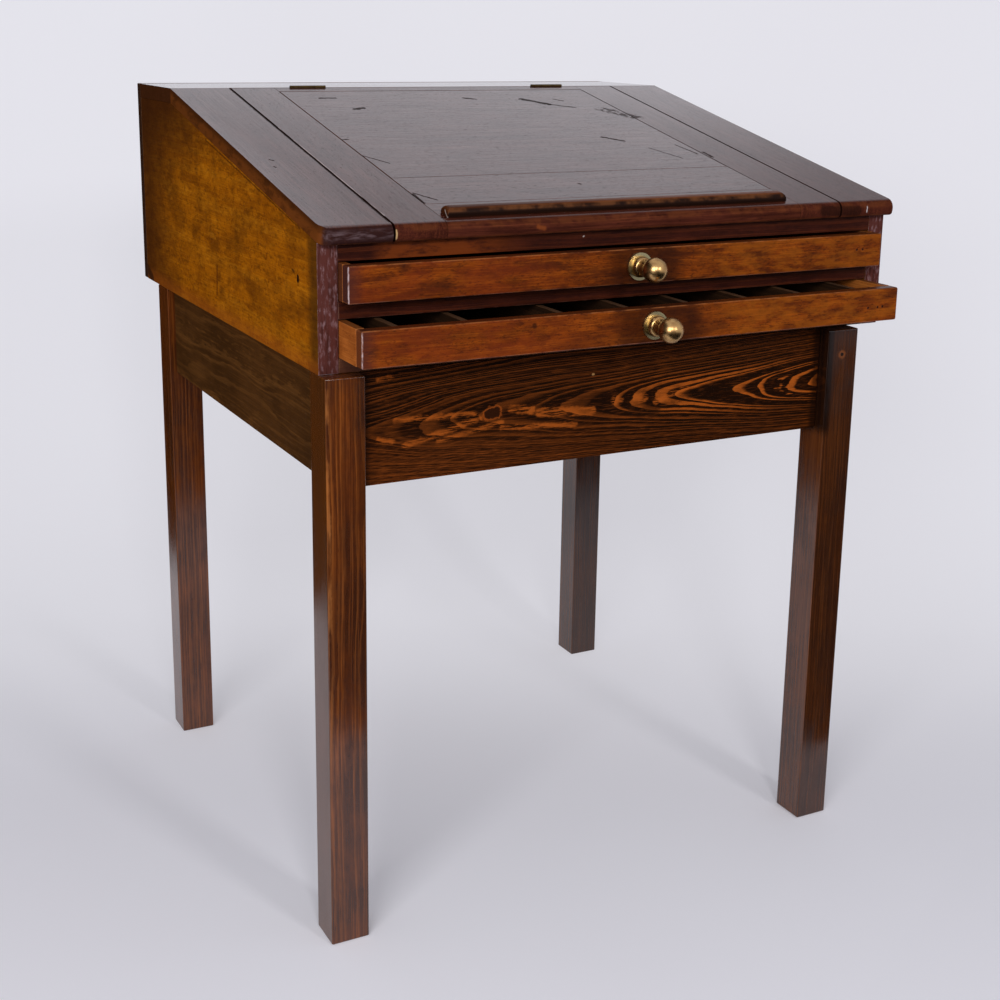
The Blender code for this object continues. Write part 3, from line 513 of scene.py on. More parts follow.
worn.links.new(reckon(worn, "MULTIPLY", worn_strip, given["Amount"]), made["Wear"])
print("worn arrises uses", len(worn.nodes), "nodes")

# %% [markdown]
# ## Marks
# Scratches, nail holes, knots and chips are all the same mask: how near a point is to a short line. A
# line with two equal ends is a spot. A little noise on the place makes the edge ragged, as in real wood.

# %% Group: mark
RAGS_IN_A_METRE = 240
mark, given, made = new_group(
    "Mark", {"Vector": ["Start", "End"], "Float": ["Width", "Softness", "Ragged"]}, {"Float": ["Mark"]})
place = put(mark, "ShaderNodeTexCoord").outputs["Object"]
shiver = noise(mark, stretch(mark, place, *[RAGS_IN_A_METRE] * 3), output="Color")
shiver = vector(mark, "SCALE", vector(mark, "SUBTRACT", shiver, MIDDLE_OF_NOISE), given["Ragged"])
whole = vector(mark, "SUBTRACT", given["End"], given["Start"])
away = vector(mark, "SUBTRACT", vector(mark, "ADD", place, shiver), given["Start"])
passed = vector(mark, "DOT_PRODUCT", away, whole)
total = vector(mark, "DOT_PRODUCT", whole, whole)
share = put(mark, "ShaderNodeClamp", None, {"Value": reckon(mark, "DIVIDE", passed, total)}).outputs[0]
gap = vector(mark, "DISTANCE", away, vector(mark, "SCALE", whole, share))
outer = reckon(mark, "ADD", given["Width"], given["Softness"])
mark.links.new(ease(mark, gap, outer, given["Width"]), made["Mark"])
print("mark uses", len(mark.nodes), "nodes")

# %% [markdown]
# ## One material for each board
# No two boards come from the same place in a log, so each gets a material of its own, cut along its own
# grain. Mapping turns the bureau's coordinates until the grain lies along X, then moves the log's heart
# to where this board's rings call for. The slope's boards lie tilted, so theirs are turned by the slope's
# angle as well.

# %% Make a board's material
SLOPE = math.radians(12.08)
GRAIN_TURNS = {
    "sideways": (0.0, 0.0, 0.0),
    "upright": (0.0, math.pi / 2, 0.0),
    "front_to_back": (0.0, 0.0, -math.pi / 2),
    "down_the_slope": (-SLOPE, 0.0, -math.pi / 2),
    "across_the_slope": (-SLOPE, 0.0, 0.0),
}
LEFTWARD, FRONTWARD, UPWARD, DOWNWARD = (-1, 0, 0), (0, -1, 0), (0, 0, 1), (0, 0, -1)


def put_on(material, *nodes):
    """Puts a finish on the named solids."""
    for node in nodes:
        frame["nodes"][node].data.materials.clear()
        frame["nodes"][node].data.materials.append(material)


def feeds(socket):
    """The output that is linked to an input so far."""
    return socket.links[0].from_socket


class Board:
    """A board's material, with what later cells add to it."""

    def __init__(self, node, wood, grain_runs, heart, tones, rings, polish, fibres=(0.0014, 0.4),
                 mottle=(0.05, 0.6), pores=0.25, wander=0.020, shine=0.2, relief=0.00008, saw_tilt=0.0,
                 tremble=0.55):
        """Rings, fibres and mottle are each a size in metres and how strongly it shows."""
        material, self.tree, self.shader, self.coordinates = new_material(f"{node}_{wood}")
        put_on(material, node)
        turned = put(self.tree, "ShaderNodeMapping", None,
                     {"Vector": self.coordinates["Object"], "Rotation": GRAIN_TURNS[grain_runs]}).outputs[0]
        sawn = put(self.tree, "ShaderNodeMapping", None,
                   {"Vector": turned, "Rotation": (0.0, 0.0, saw_tilt), "Location": heart}).outputs[0]
        sockets = {"Board": sawn, "Wander": wander, "Tremble": tremble, "Pore Show": pores, "Polish": polish}
        sockets["Ring Width"], sockets["Ring Show"] = rings
        sockets["Fibre Width"], sockets["Fibre Show"] = fibres
        sockets["Mottle Size"], sockets["Mottle Show"] = mottle
        sockets.update(zip(TONES, [stain(*tone) for tone in tones]))
        self.wood = put(self.tree, "ShaderNodeGroup", {"node_tree": stained}, sockets)
        self.shader.inputs["Specular IOR Level"].default_value = shine
        self.bump = put(self.tree, "ShaderNodeBump", None,
                        {"Height": self.wood.outputs["Height"], "Strength": 1.0, "Distance": relief})
        self.link(self.wood.outputs["Colour"], "Base Color")
        self.link(self.wood.outputs["Roughness"], "Roughness")
        self.link(self.bump.outputs[0], "Normal")

    def link(self, output, socket):
        """Feeds one input of the shader."""
        self.tree.links.new(output, self.shader.inputs[socket])

    def both(self, *masks):
        """Where all the masks meet."""
        together = masks[0]
        for mask in masks[1:]:
            together = reckon(self.tree, "MULTIPLY", together, mask)
        return together

    def lay(self, colour, amount, *masks):
        """Lays a colour over the stain where all the masks meet."""
        under = feeds(self.shader.inputs["Base Color"])
        strength = self.both(*masks, amount)
        self.link(mix_colour(self.tree, strength, under, colour), "Base Color")

    def show_rings(self, least, mask, more):
        """Lets the rings show a little everywhere, and more where the mask is 1."""
        show = reckon(self.tree, "MULTIPLY_ADD", mask, more, least)
        self.tree.links.new(show, self.wood.inputs["Ring Show"])

    def coat(self, mask, roughness, loss):
        """Puts a clear polish over the stain where the mask is 1. The open grain loses a share of it."""
        held = reckon(self.tree, "MULTIPLY_ADD", self.wood.outputs["Open Grain"], -loss, 1.0)
        self.link(self.both(mask, held), "Coat Weight")
        self.shader.inputs["Coat Roughness"].default_value = roughness

    def strip(self, mask, amount):
        """Takes the clear polish off where the mask is 1."""
        left = reckon(self.tree, "MULTIPLY_ADD", mask, -amount, 1.0)
        self.link(self.both(feeds(self.shader.inputs["Coat Weight"]), left), "Coat Weight")

    def roughen(self, mask, change):
        """Makes the polish duller where the mask is 1, or shinier if the change is below 0."""
        under = feeds(self.shader.inputs["Roughness"])
        self.link(reckon(self.tree, "MULTIPLY_ADD", mask, change, under), "Roughness")

    def dent(self, mask, depth):
        """Sinks the surface where the mask is 1, by so many heights of the grain."""
        height = self.bump.inputs["Height"]
        self.tree.links.new(reckon(self.tree, "MULTIPLY_ADD", mask, -depth, feeds(height)), height)

    def wear_and_glint(self, colour, amount, patch_size, tilt=0.0, where=1.0):
        """Lays a colour on the arrises in patches, everywhere or only where a mask is 1: worn stain, and with
        a pale colour a painted highlight.
        """
        patches = put(self.tree, "ShaderNodeGroup", {"node_tree": worn},
                      {"Tilt": tilt, "Patch Size": patch_size, "Amount": amount}).outputs["Wear"]
        self.lay(colour, where, patches)

    def mark(self, start, end, width, softness=0.0006, ragged=0.0006):
        """A mask for a scratch from start to end, or for a spot if both are the same."""
        sockets = {"Start": start, "End": end, "Width": width, "Softness": softness, "Ragged": ragged}
        return put(self.tree, "ShaderNodeGroup", {"node_tree": mark}, sockets).outputs["Mark"]

    def facing(self, direction, low=0.6, high=0.9):
        """A mask for the faces that look one way."""
        toward = vector(self.tree, "DOT_PRODUCT", self.coordinates["Normal"], direction)
        return ease(self.tree, toward, low, high)

    def along(self, axis, low, high):
        """A mask that rises along one axis of the bureau, or falls if high is below low."""
        split = put(self.tree, "ShaderNodeSeparateXYZ", None, {0: self.coordinates["Object"]}).outputs
        return ease(self.tree, split[axis], low, high)

    def between(self, axis, starts, is_whole, thins, ends):
        """A mask for a band along one axis, soft at both ends."""
        return self.both(self.along(axis, starts, is_whole), self.along(axis, ends, thins))

    def cloud(self, sizes, low, high):
        """Cloudy patches. The sizes are the patches' lengths along X, Y and Z, in metres."""
        grown = stretch(self.tree, self.coordinates["Object"], *[1 / size for size in sizes])
        return ease(self.tree, noise(self.tree, grown, 4.0, 0.62), low, high)


def on_front(y, *places):
    """Points on a face that looks to the front, each from how far right and how high it is."""
    return [(x, y, z) for x, z in places]


print("grain can run", list(GRAIN_TURNS))

# %% [markdown]
# ## The stand: legs
# The legs are square posts of pine with straight streaky grain, stained brown. Their log's heart lies
# well outside the post, so the rings show as nearly straight lines. Each leg is cut from another part of
# the log, and the two on the right are a little darker, partly as painted shade. Their front faces carry
# more painted shade, and the front left leg's left face is painted darker than its front. The front left
# leg has a pale streak, and the front right one has a knot and painted shade where the apron meets it.

# %% Legs
LIGHT_LEG = ((46, 19, 6), (102, 49, 16), (154, 86, 32))
DARK_LEG = ((42, 18, 7), (98, 51, 22), (138, 78, 34))
LEGS = {"leg_front_left": ((0.10, 0.36, -0.30), LIGHT_LEG), "leg_front_right": ((1.35, 0.40, 0.36), DARK_LEG),
        "leg_back_left": ((2.70, -0.22, -0.27), LIGHT_LEG), "leg_back_right": ((3.90, -0.24, 0.39), DARK_LEG)}
STREAK_TOP, STREAK_FOOT = (-0.3535, -0.29725, 0.615), (-0.3520, -0.29725, 0.100)
LEG_KNOT = (0.292, -0.297, 0.597)
legs = {}
for node, (heart, tones) in LEGS.items():
    leg = Board(node, "pine", "upright", heart, tones, rings=(0.0040, 0.32), fibres=(0.0018, 0.50),
                mottle=(0.045, 0.75), pores=0.10, wander=0.012, polish=0.12, shine=0.72, relief=0.000008)
    leg.wear_and_glint((120, 70, 34), 0.4, 0.05)
    legs[node] = leg

leg = legs["leg_front_left"]
leg.lay((176, 108, 52), 0.6, leg.mark(STREAK_TOP, STREAK_FOOT, 0.0010, 0.0024, 0.0020),
        leg.along("Z", 0.08, 0.50), leg.cloud((0.01, 0.01, 0.05), 0.35, 0.60))
# Painted shade: the front left leg's left face is coloured darker than its front.
leg.lay((88, 48, 15), 0.65, leg.facing(LEFTWARD))
leg.lay((36, 16, 6), 0.35, leg.along("X", -0.330, -0.312))
leg = legs["leg_front_right"]
# Painted shade on the front face.
leg.lay((34, 15, 7), 0.6, leg.facing(FRONTWARD))
# Painted shade in the corner where the apron meets the leg.
leg.lay((14, 7, 5), 0.85, leg.along("X", 0.284, 0.274), leg.along("Z", 0.495, 0.512))
leg.lay((120, 66, 30), 0.7, leg.mark(LEG_KNOT, LEG_KNOT, 0.0035, 0.0030, 0.0020))
leg.lay((24, 11, 6), 1.0, leg.mark(LEG_KNOT, LEG_KNOT, 0.0015, 0.0015, 0.0010))
leg = legs["leg_back_right"]
# Painted shade on the front face.
leg.lay((28, 13, 8), 0.6, leg.facing(FRONTWARD))
print("dressed", len(legs), "legs")

# %% [markdown]
# ## The stand: aprons
# The front apron is the showpiece of the stand: a flat-sawn pine board whose rings make a row of pointed
# flames. A flat-sawn board runs nearer to the heart of the log at one end, so the log is tilted a little
# against the board. The flames glow only in a narrow band level with the heart, and fine dark lines fill
# the rest. A knot and the brightest streaks are laid on one by one.

# %% Front apron
HEART_HEIGHT = 0.565
HEART_BAND = (-0.032, -0.010, 0.010, 0.034)
APRON_FACE = -0.28125
GLOWING_STREAKS = [
    ((-0.138, 0.571), (-0.114, 0.568), 0.0030), ((-0.104, 0.564), (-0.039, 0.559), 0.0034),
    ((-0.010, 0.568), (-0.004, 0.568), 0.0034), ((0.018, 0.568), (0.028, 0.567), 0.0034),
    ((-0.262, 0.545), (-0.176, 0.565), 0.0016), ((-0.273, 0.573), (-0.183, 0.571), 0.0010),
    ((-0.225, 0.545), (-0.150, 0.558), 0.0006), ((-0.292, 0.6175), (-0.278, 0.6190), 0.0004),
    ((-0.292, 0.555), (-0.276, 0.551), 0.0006), ((-0.150, 0.552), (-0.060, 0.546), 0.0010),
    ((0.044, 0.561), (0.085, 0.574), 0.0016),
]
APRON_KNOT = on_front(APRON_FACE, (-0.165, 0.5685), (-0.157, 0.5695))
PALE_SPOT = on_front(APRON_FACE, (-0.039, 0.600), (-0.038, 0.600))
apron = Board("apron_front", "pine", "sideways", (0.0, 0.326, -HEART_HEIGHT),
              ((18, 7, 2), (30, 11, 3), (168, 84, 26)), rings=(0.0022, 0.2), fibres=(0.0010, 0.28),
              mottle=(0.030, 0.65), wander=0.014, polish=0.36, shine=0.03, relief=0.00006,
              saw_tilt=math.radians(-3.4), tremble=0.3)
heart_band = apron.between("Z", *[HEART_HEIGHT + step for step in HEART_BAND])
flames = apron.both(heart_band, apron.along("X", -0.06, 0.12), apron.cloud((0.06, 0.06, 0.03), 0.30, 0.50))
apron.show_rings(0.22, flames, 0.62)
wide_rings = ease(apron.tree, apron.wood.outputs["Rings"], 0.0, 0.5)
apron.lay((162, 79, 22), 0.8, flames, wide_rings, apron.cloud((0.014, 0.014, 0.0016), 0.34, 0.58))
apron.lay((120, 58, 18), 0.42, apron.along("Z", 0.57, 0.52), apron.along("X", 0.1, -0.25),
          apron.wood.outputs["Fibres"])
strands = apron.cloud((0.016, 0.016, 0.0013), 0.44, 0.58)
lively = reckon(apron.tree, "MAXIMUM", strands, apron.wood.outputs["Rings"])
for start, end, width in GLOWING_STREAKS:
    streak = apron.mark(*on_front(APRON_FACE, start, end), width, 0.0034, 0.0036)
    apron.lay((164, 81, 24), 0.66, streak, lively)
apron.lay((150, 72, 22), 0.6, apron.mark(*APRON_KNOT, 0.0060, 0.0026, 0.0070))
apron.lay((30, 12, 5), 0.95, apron.mark(*APRON_KNOT, 0.0046, 0.0020, 0.0050))
apron.lay((168, 126, 78), 0.7, apron.mark(*PALE_SPOT, 0.0006, 0.0012))
# Painted shade at both ends of the apron, where it meets the legs.
apron.lay((22, 9, 4), 0.75, apron.along("X", -0.298, -0.308))
apron.lay((22, 9, 4), 0.75, apron.along("X", 0.258, 0.266))
apron.wear_and_glint((110, 60, 30), 0.4, 0.03)
print("front apron streaks:", len(GLOWING_STREAKS))

# %% [markdown]
# The other three aprons are the same pine, but plainer and browner, because nobody looks at them.

# %% Other aprons
PLAIN_APRON = ((52, 30, 11), (88, 54, 24), (122, 78, 36))
for node, heart in {"apron_left": (0.2, 0.40, -0.46), "apron_right": (1.9, -0.28, -0.50)}.items():
    apron = Board(node, "pine", "front_to_back", heart, PLAIN_APRON, rings=(0.0036, 0.40),
                  fibres=(0.0014, 0.45), pores=0.15, wander=0.016, polish=0.40, shine=0.01, relief=0.00006)
    apron.wear_and_glint((110, 70, 36), 0.4, 0.03)
apron = Board("apron_back", "pine", "sideways", (5.0, -0.34, -0.59), PLAIN_APRON, rings=(0.0036, 0.5),
              pores=0.2, polish=0.42, saw_tilt=math.radians(5.0))
apron.wear_and_glint((110, 70, 36), 0.5, 0.03)
print("dressed 3 plain aprons")

# %% [markdown]
# ## The box: sides
# The sides are broad boards of a golden wood. Hands and sun have bleached the middle to amber, while the
# margins stay brown. Soft noise alone would look like fog, so fine dark flecks and a few cracks go on
# top. The front edges of the sides are another matter: dark, purplish and knocked, with painted highlights
# in pale lavender streaks and along the outer arris.

# %% Sides
AMBER = ((112, 56, 4), (178, 102, 8), (214, 140, 28))
MARGIN = (66, 33, 13)
OUTSIDE_X = 0.355
FRONT_EDGE_Y = -0.27975
CLOUDS_ON_SIDES = [
    ((0.07, 0.09, 0.05), 0.48, 0.66, (100, 54, 8), 0.55),
    ((0.008, 0.018, 0.005), 0.52, 0.68, (70, 37, 6), 0.42),
    ((0.0035, 0.0050, 0.0035), 0.53, 0.68, (92, 40, 6), 0.55),
    ((0.06, 0.035, 0.09), 0.50, 0.66, (84, 44, 8), 0.22),
    ((0.010, 0.030, 0.012), 0.56, 0.68, (206, 130, 24), 0.25),
]
LEFT_SIDE_MARKS = [
    ((0.082, 0.833), (-0.234, 0.768), 0.0004, 0.0012, (52, 25, 8), 0.65),
    ((0.050, 0.689), (0.053, 0.656), 0.0006, 0.0030, (82, 36, 10), 0.75),
    ((-0.225, 0.7175), (-0.225, 0.7145), 0.0022, 0.0016, (24, 14, 12), 1.0),
    ((-0.208, 0.723), (-0.214, 0.722), 0.0008, 0.0012, (60, 30, 10), 0.8),
    ((0.366, 0.640), (0.345, 0.630), 0.0040, 0.0060, (44, 27, 16), 0.8),
]
sides = {}
for node, heart in {"side_left": (0.3, 0.20, -0.60), "side_right": (2.6, -0.18, -0.66)}.items():
    side = Board(node, "wood", "front_to_back", heart, AMBER, rings=(0.0110, 0.15), fibres=(0.0013, 0.34),
                 mottle=(0.016, 0.60), pores=0.50, polish=0.38, shine=0.005, relief=0.00005)
    for sizes, low, high, colour, amount in CLOUDS_ON_SIDES:
        side.lay(colour, amount, side.cloud(sizes, low, high))
    side.lay(MARGIN, 0.8, side.along("Y", 0.18, 0.355))
    side.lay(MARGIN, 0.82, side.along("Z", 0.75, 0.86), side.along("Y", 0.05, 0.21))
    side.lay((66, 40, 12), 0.75, side.along("Y", -0.246, -0.268))
    side.lay((150, 76, 22), 0.45, side.along("Z", 0.650, 0.632))
    front_edge = side.facing(FRONTWARD)
    side.lay((84, 45, 40), 1.0, front_edge)
    side.lay((58, 30, 26), 0.7, front_edge, side.cloud((0.004, 0.004, 0.040), 0.46, 0.62))
    # Painted highlights: pale lavender streaks on the front edge.
    side.lay((150, 120, 124), 0.60, front_edge, side.cloud((0.0030, 0.0030, 0.009), 0.48, 0.76))
    side.roughen(front_edge, -0.06)
    near_front = side.along("Y", FRONT_EDGE_Y + 0.004, FRONT_EDGE_Y + 0.001)
    # Painted highlight: a pale lavender-white line along the front arris.
    side.wear_and_glint((176, 160, 168), 0.9, 0.006, where=near_front)
    sides[node] = side

side = sides["side_left"]
for start, end, width, softness, colour, amount in LEFT_SIDE_MARKS:
    crack = side.mark((-OUTSIDE_X, *start), (-OUTSIDE_X, *end), width, softness, 0.002)
    side.lay(colour, amount, crack)
    side.dent(crack, 2.0)
print("dressed", len(sides), "sides, with", len(LEFT_SIDE_MARKS), "cracks and holes on the left one")

# %% [markdown]
# ## The box: back, bottom and rails
# The rails above and between the drawers are a dark red-brown, and the back and bottom are plainer boards
# that nobody polished. The top rail is rubbed orange near its left end and has a small white nick.

# %% Rails, back and bottom
RAIL_TONES = ((36, 12, 8), (66, 27, 17), (112, 52, 24))
RAIL_NICK = on_front(-0.280, (-0.055, 0.751), (-0.054, 0.7515))
rails = {}
for node, heart in {"top_rail": (0.4, 0.31, -0.72), "mid_rail": (1.8, 0.33, -0.66)}.items():
    rail = Board(node, "wood", "sideways", heart, RAIL_TONES, rings=(0.0060, 0.25), fibres=(0.0012, 0.45),
                 mottle=(0.018, 0.8), pores=0.4, wander=0.010, polish=0.30, shine=0.05, relief=0.00005)
    rail.wear_and_glint((120, 80, 66), 0.6, 0.012)
    rails[node] = rail
rail = rails["top_rail"]
rail.lay((122, 56, 18), 0.7, rail.between("X", -0.300, -0.280, -0.200, -0.110),
         rail.cloud((0.03, 0.03, 0.010), 0.30, 0.55))
rail.lay((200, 186, 180), 0.8, rail.mark(*RAIL_NICK, 0.0004, 0.0006))

PLAIN_TONES = ((64, 36, 18), (98, 58, 29), (134, 86, 46))
back = Board("back_board", "wood", "sideways", (0.6, -0.42, -0.70), PLAIN_TONES, rings=(0.0060, 0.5),
             mottle=(0.05, 0.7), pores=0.35, polish=0.46, saw_tilt=math.radians(4.0))
back.lay((50, 27, 15), 0.8, back.facing(LEFTWARD))
back.wear_and_glint((118, 80, 48), 0.4, 0.02)
bottom = Board("bottom_board", "wood", "sideways", (2.2, 0.02, -0.70), PLAIN_TONES, rings=(0.0060, 0.45),
               mottle=(0.05, 0.7), pores=0.3, polish=0.5)
bottom.lay((72, 36, 26), 0.7, bottom.facing(FRONTWARD))
bottom.wear_and_glint((116, 78, 46), 0.5, 0.02)
print("dressed the rails, the back and the bottom")

# %% [markdown]
# The inside is raw pine that has gone brown with age and dust. It has no polish at all, so it is rough
# and dark.

# %% Raw pine inside
FLOOR_TONES = ((46, 28, 15), (74, 47, 26), (102, 68, 40))
RAW_BOARDS = {"well_floor": ("sideways", (0.7, 0.05, -0.81)),
              "runner_left": ("front_to_back", (1.1, 0.36, -0.62)),
              "runner_right": ("front_to_back", (2.3, -0.29, -0.62))}
for node, (grain_runs, heart) in RAW_BOARDS.items():
    raw = Board(node, "pine", grain_runs, heart, FLOOR_TONES, rings=(0.0055, 0.5), wander=0.018, polish=0.58,
                shine=0.15)
    raw.wear_and_glint((104, 72, 44), 0.5, 0.02)
print("dressed", len(RAW_BOARDS), "raw boards")

# %% [markdown]
# ## The slope
# The writing slope is the most handled part, so its polish is deep and smooth. A coat over the stain
# gives the clear mirror of the bright paper behind, and very fine relief along the grain breaks it into
# silky lines. Only the upper faces get the coat. It is clearest on the flat top, duller down the stiles
# and cheeks, and dullest across the lid, where most of the writing was done.

# %% Slope boards
SLOPE_TONES = ((46, 19, 13), (78, 36, 26), (112, 57, 36))
UP_FROM_SLOPE = (0, -math.sin(SLOPE), math.cos(SLOPE))
UNDER_SLOPE = (0, math.sin(SLOPE), -math.cos(SLOPE))
SLOPE_BOARDS = {
    "flat_top": ("sideways", (0.2, -0.25, -0.85)),
    "cheek_left": ("down_the_slope", (0.4, 0.36, -0.80)),
    "cheek_right": ("down_the_slope", (1.6, -0.30, -0.79)),
    "lid_stile_left": ("down_the_slope", (2.8, 0.28, -0.78)),
    "lid_stile_right": ("down_the_slope", (3.7, -0.22, -0.80)),
    "lid_front_rail": ("across_the_slope", (0.9, 0.13, -0.80)),
    "lid_back_rail": ("across_the_slope", (2.1, -0.37, -0.79)),
    "lid_panel_back_board": ("across_the_slope", (3.2, -0.16, -0.76)),
    "lid_panel_front_board": ("across_the_slope", (4.4, 0.05, -0.77)),
}
LEFT_ENDS = {"flat_top": (70, 38, 16), "cheek_left": (112, 60, 20)}
OTHER_ENDS = (16, 9, 6)
COATS = {"sideways": {"roughness": 0.06, "loss": 0.30}, "down_the_slope": {"roughness": 0.13, "loss": 0.42},
         "across_the_slope": {"roughness": 0.16, "loss": 0.55}}
slope_boards = {}
for node, (grain_runs, heart) in SLOPE_BOARDS.items():
    board = Board(node, "wood", grain_runs, heart, SLOPE_TONES, rings=(0.0060, 0.25), fibres=(0.0012, 0.60),
                  mottle=(0.024, 0.7), pores=0.60, wander=0.014, polish=0.36, shine=0.005, relief=0.000018)
    level = node == "flat_top"
    board.coat(board.facing(UPWARD if level else UP_FROM_SLOPE, 0.90, 0.985), **COATS[grain_runs])
    board.lay((78, 50, 28), 0.6, board.facing(DOWNWARD if level else UNDER_SLOPE))
    board.lay(LEFT_ENDS.get(node, OTHER_ENDS), 0.8, board.facing(LEFTWARD))
    board.wear_and_glint((112, 60, 32), 0.35, 0.012, 0.0 if level else -SLOPE)
    slope_boards[node] = board
print("dressed", len(slope_boards), "slope boards")

# %% [markdown]
# Years of pens and knives have left their marks on the slope. They are placed in the slope's own measure:
# how far across, and how far down from the top edge.

# %% Scratches on the writing slope
TOP_EDGE = Vector((0.0, 0.22425, 0.88588))
DOWN = Vector((0.0, -math.cos(SLOPE), -math.sin(SLOPE)))
SCRATCHES = {
    "lid_panel_back_board": [
        ((-0.178, 0.053), (-0.158, 0.053), 0.0016), ((-0.152, 0.106), (-0.139, 0.102), 0.0028),
        ((0.021, 0.059), (0.034, 0.065), 0.0020), ((0.102, 0.067), (0.129, 0.094), 0.0038),
        ((0.129, 0.094), (0.160, 0.112), 0.0014), ((0.150, 0.070), (0.160, 0.078), 0.0010),
        ((0.122, 0.249), (0.142, 0.268), 0.0020), ((-0.219, 0.236), (-0.212, 0.235), 0.0011),
        ((-0.219, 0.300), (-0.200, 0.330), 0.0005), ((0.205, 0.290), (0.212, 0.330), 0.0006),
        ((0.160, 0.300), (0.180, 0.345), 0.0004)],
    "lid_panel_front_board": [
        ((-0.217, 0.435), (-0.201, 0.460), 0.0008), ((-0.219, 0.438), (-0.219, 0.468), 0.0010),
        ((-0.010, 0.425), (-0.009, 0.427), 0.0010)],
    "lid_stile_right": [((0.225, 0.323), (0.225, 0.344), 0.0014)],
    "cheek_left": [
        ((-0.330, 0.304), (-0.328, 0.308), 0.0008), ((-0.334, 0.330), (-0.333, 0.332), 0.0006),
        ((-0.2803, 0.004), (-0.2803, 0.520), 0.0004)],
}


def on_slope(*places):
    """Points on the slope's face, in metres, each from how far across and how far down it is."""
    return [TOP_EDGE + DOWN * down + Vector((across, 0, 0)) for across, down in places]


for node, scratches in SCRATCHES.items():
    board = slope_boards[node]
    for start, end, width in scratches:
        scratch = board.mark(*on_slope(start, end), width, 0.0014, 0.0016 + 2.0 * width)
        board.lay((28, 16, 12), 0.9, scratch)
        board.strip(scratch, 0.9)
        board.dent(scratch, 4.0)
for node in ("lid_panel_back_board", "lid_stile_right"):
    board = slope_boards[node]
    smudge = board.both(board.mark(*on_slope((0.197, 0.124), (0.224, 0.160)), 0.0080, 0.0060, 0.0140),
                        board.cloud((0.010, 0.014, 0.014), 0.40, 0.54))
    board.lay((34, 21, 18), 0.85, smudge)
    board.strip(smudge, 0.75)
print("scratches:", sum(len(scratches) for scratches in SCRATCHES.values()))

# %% [markdown]
# The lid's left edge has a pale line where it lies against the cheek, and the nose along the front has its
# own knocks: a pale chip at the lid's corner, an orange scrape, and a dark smudge with a white nick at
# the right. The left cheek's nose is dark and purplish, with a painted highlight band along its middle,
# and its end is darker along the slope.

# %% Worn edge and nose
NOSE_Y = -0.2948
NOSE_MARKS = [
    ("lid_stile_left", (-0.2768, 0.770), (-0.2768, 0.760), 0.0006, 0.0012, (196, 160, 112), 0.8),
    ("lid_front_rail", (-0.118, 0.766), (-0.110, 0.764), 0.0006, 0.0030, (130, 66, 30), 0.6),
    ("lid_stile_right", (0.254, 0.767), (0.277, 0.766), 0.0040, 0.0040, (30, 15, 11), 0.7),
    ("cheek_right", (0.280, 0.766), (0.303, 0.765), 0.0040, 0.0040, (30, 15, 11), 0.7),
    ("cheek_right", (0.317, 0.770), (0.3165, 0.763), 0.0002, 0.0010, (206, 196, 194), 0.7),
]
stile = slope_boards["lid_stile_left"]
stile.lay((190, 170, 166), 0.7,
          stile.mark(*on_slope((-0.2770, 0.18), (-0.2770, 0.50)), 0.0003, 0.0006, 0.0003),
          stile.cloud((0.02, 0.06, 0.06), 0.42, 0.60))
for node, start, end, width, softness, colour, amount in NOSE_MARKS:
    board = slope_boards[node]
    board.lay(colour, amount, board.mark(*on_front(NOSE_Y, start, end), width, softness, 0.002))
cheek = slope_boards["cheek_left"]
left_nose = cheek.facing(FRONTWARD, 0.35, 0.75)
cheek.lay((40, 24, 24), 0.85, left_nose)
# Painted highlight: a soft lavender band along the middle of the nose.
cheek.lay((120, 100, 104), 0.42, left_nose, cheek.between("Z", 0.760, 0.766, 0.769, 0.774),
          cheek.cloud((0.014, 0.004, 0.003), 0.40, 0.72))
left_end = cheek.facing(LEFTWARD)
slope_arris = cheek.mark(*on_slope((-OUTSIDE_X, 0.0), (-OUTSIDE_X, 0.52)), 0.0010, 0.0090, 0.0030)
cheek.lay((40, 21, 9), 0.62, left_end, slope_arris)
cheek.lay((58, 30, 11), 0.6, left_end, cheek.cloud((0.02, 0.03, 0.012), 0.46, 0.64))
print("knocks on the nose:", len(NOSE_MARKS))

# %% [markdown]
# ## The book rest
# A thin moulded strip keeps a book from sliding off. It is redder than the slope, lighter on its top face
# and dark on its front, and has a painted highlight at its left end.

# %% Book rest
REST_BACK_ARRIS = on_front(-0.2650, (-0.2153, 0.7885), (0.2093, 0.7885))
REST_LEFT_END = [(-0.2150, -0.2810, 0.7785), (-0.2150, -0.2700, 0.7890)]
rest = Board("book_rest", "wood", "across_the_slope", (5.3, 0.12, -0.79),
             ((30, 13, 7), (62, 30, 14), (112, 58, 26)), rings=(0.0050, 0.25), fibres=(0.0012, 0.45),
             mottle=(0.02, 0.4), pores=0.3, wander=0.008, polish=0.28, shine=0.05, relief=0.00004)
rest_top = rest.facing(UP_FROM_SLOPE, 0.5, 0.9)
rest.lay((112, 56, 20), 0.6, rest_top)
rest.lay((20, 10, 7), 0.88, rest.facing(FRONTWARD))
rest.lay((40, 18, 10), 0.6, rest_top, rest.along("X", 0.02, -0.16))
rest.lay((14, 8, 6), 0.9, rest.mark(*REST_BACK_ARRIS, 0.0008, 0.0012, 0.0004))
rest.wear_and_glint((120, 72, 40), 0.5, 0.02, -SLOPE)
# Painted highlight: a pale glint on the left end's arris.
rest.lay((200, 184, 174), 0.6, rest.mark(*REST_LEFT_END, 0.0002, 0.0008))
rest.lay((22, 10, 7), 0.7, rest.along("X", 0.200, 0.2085))
print("dressed the book rest")
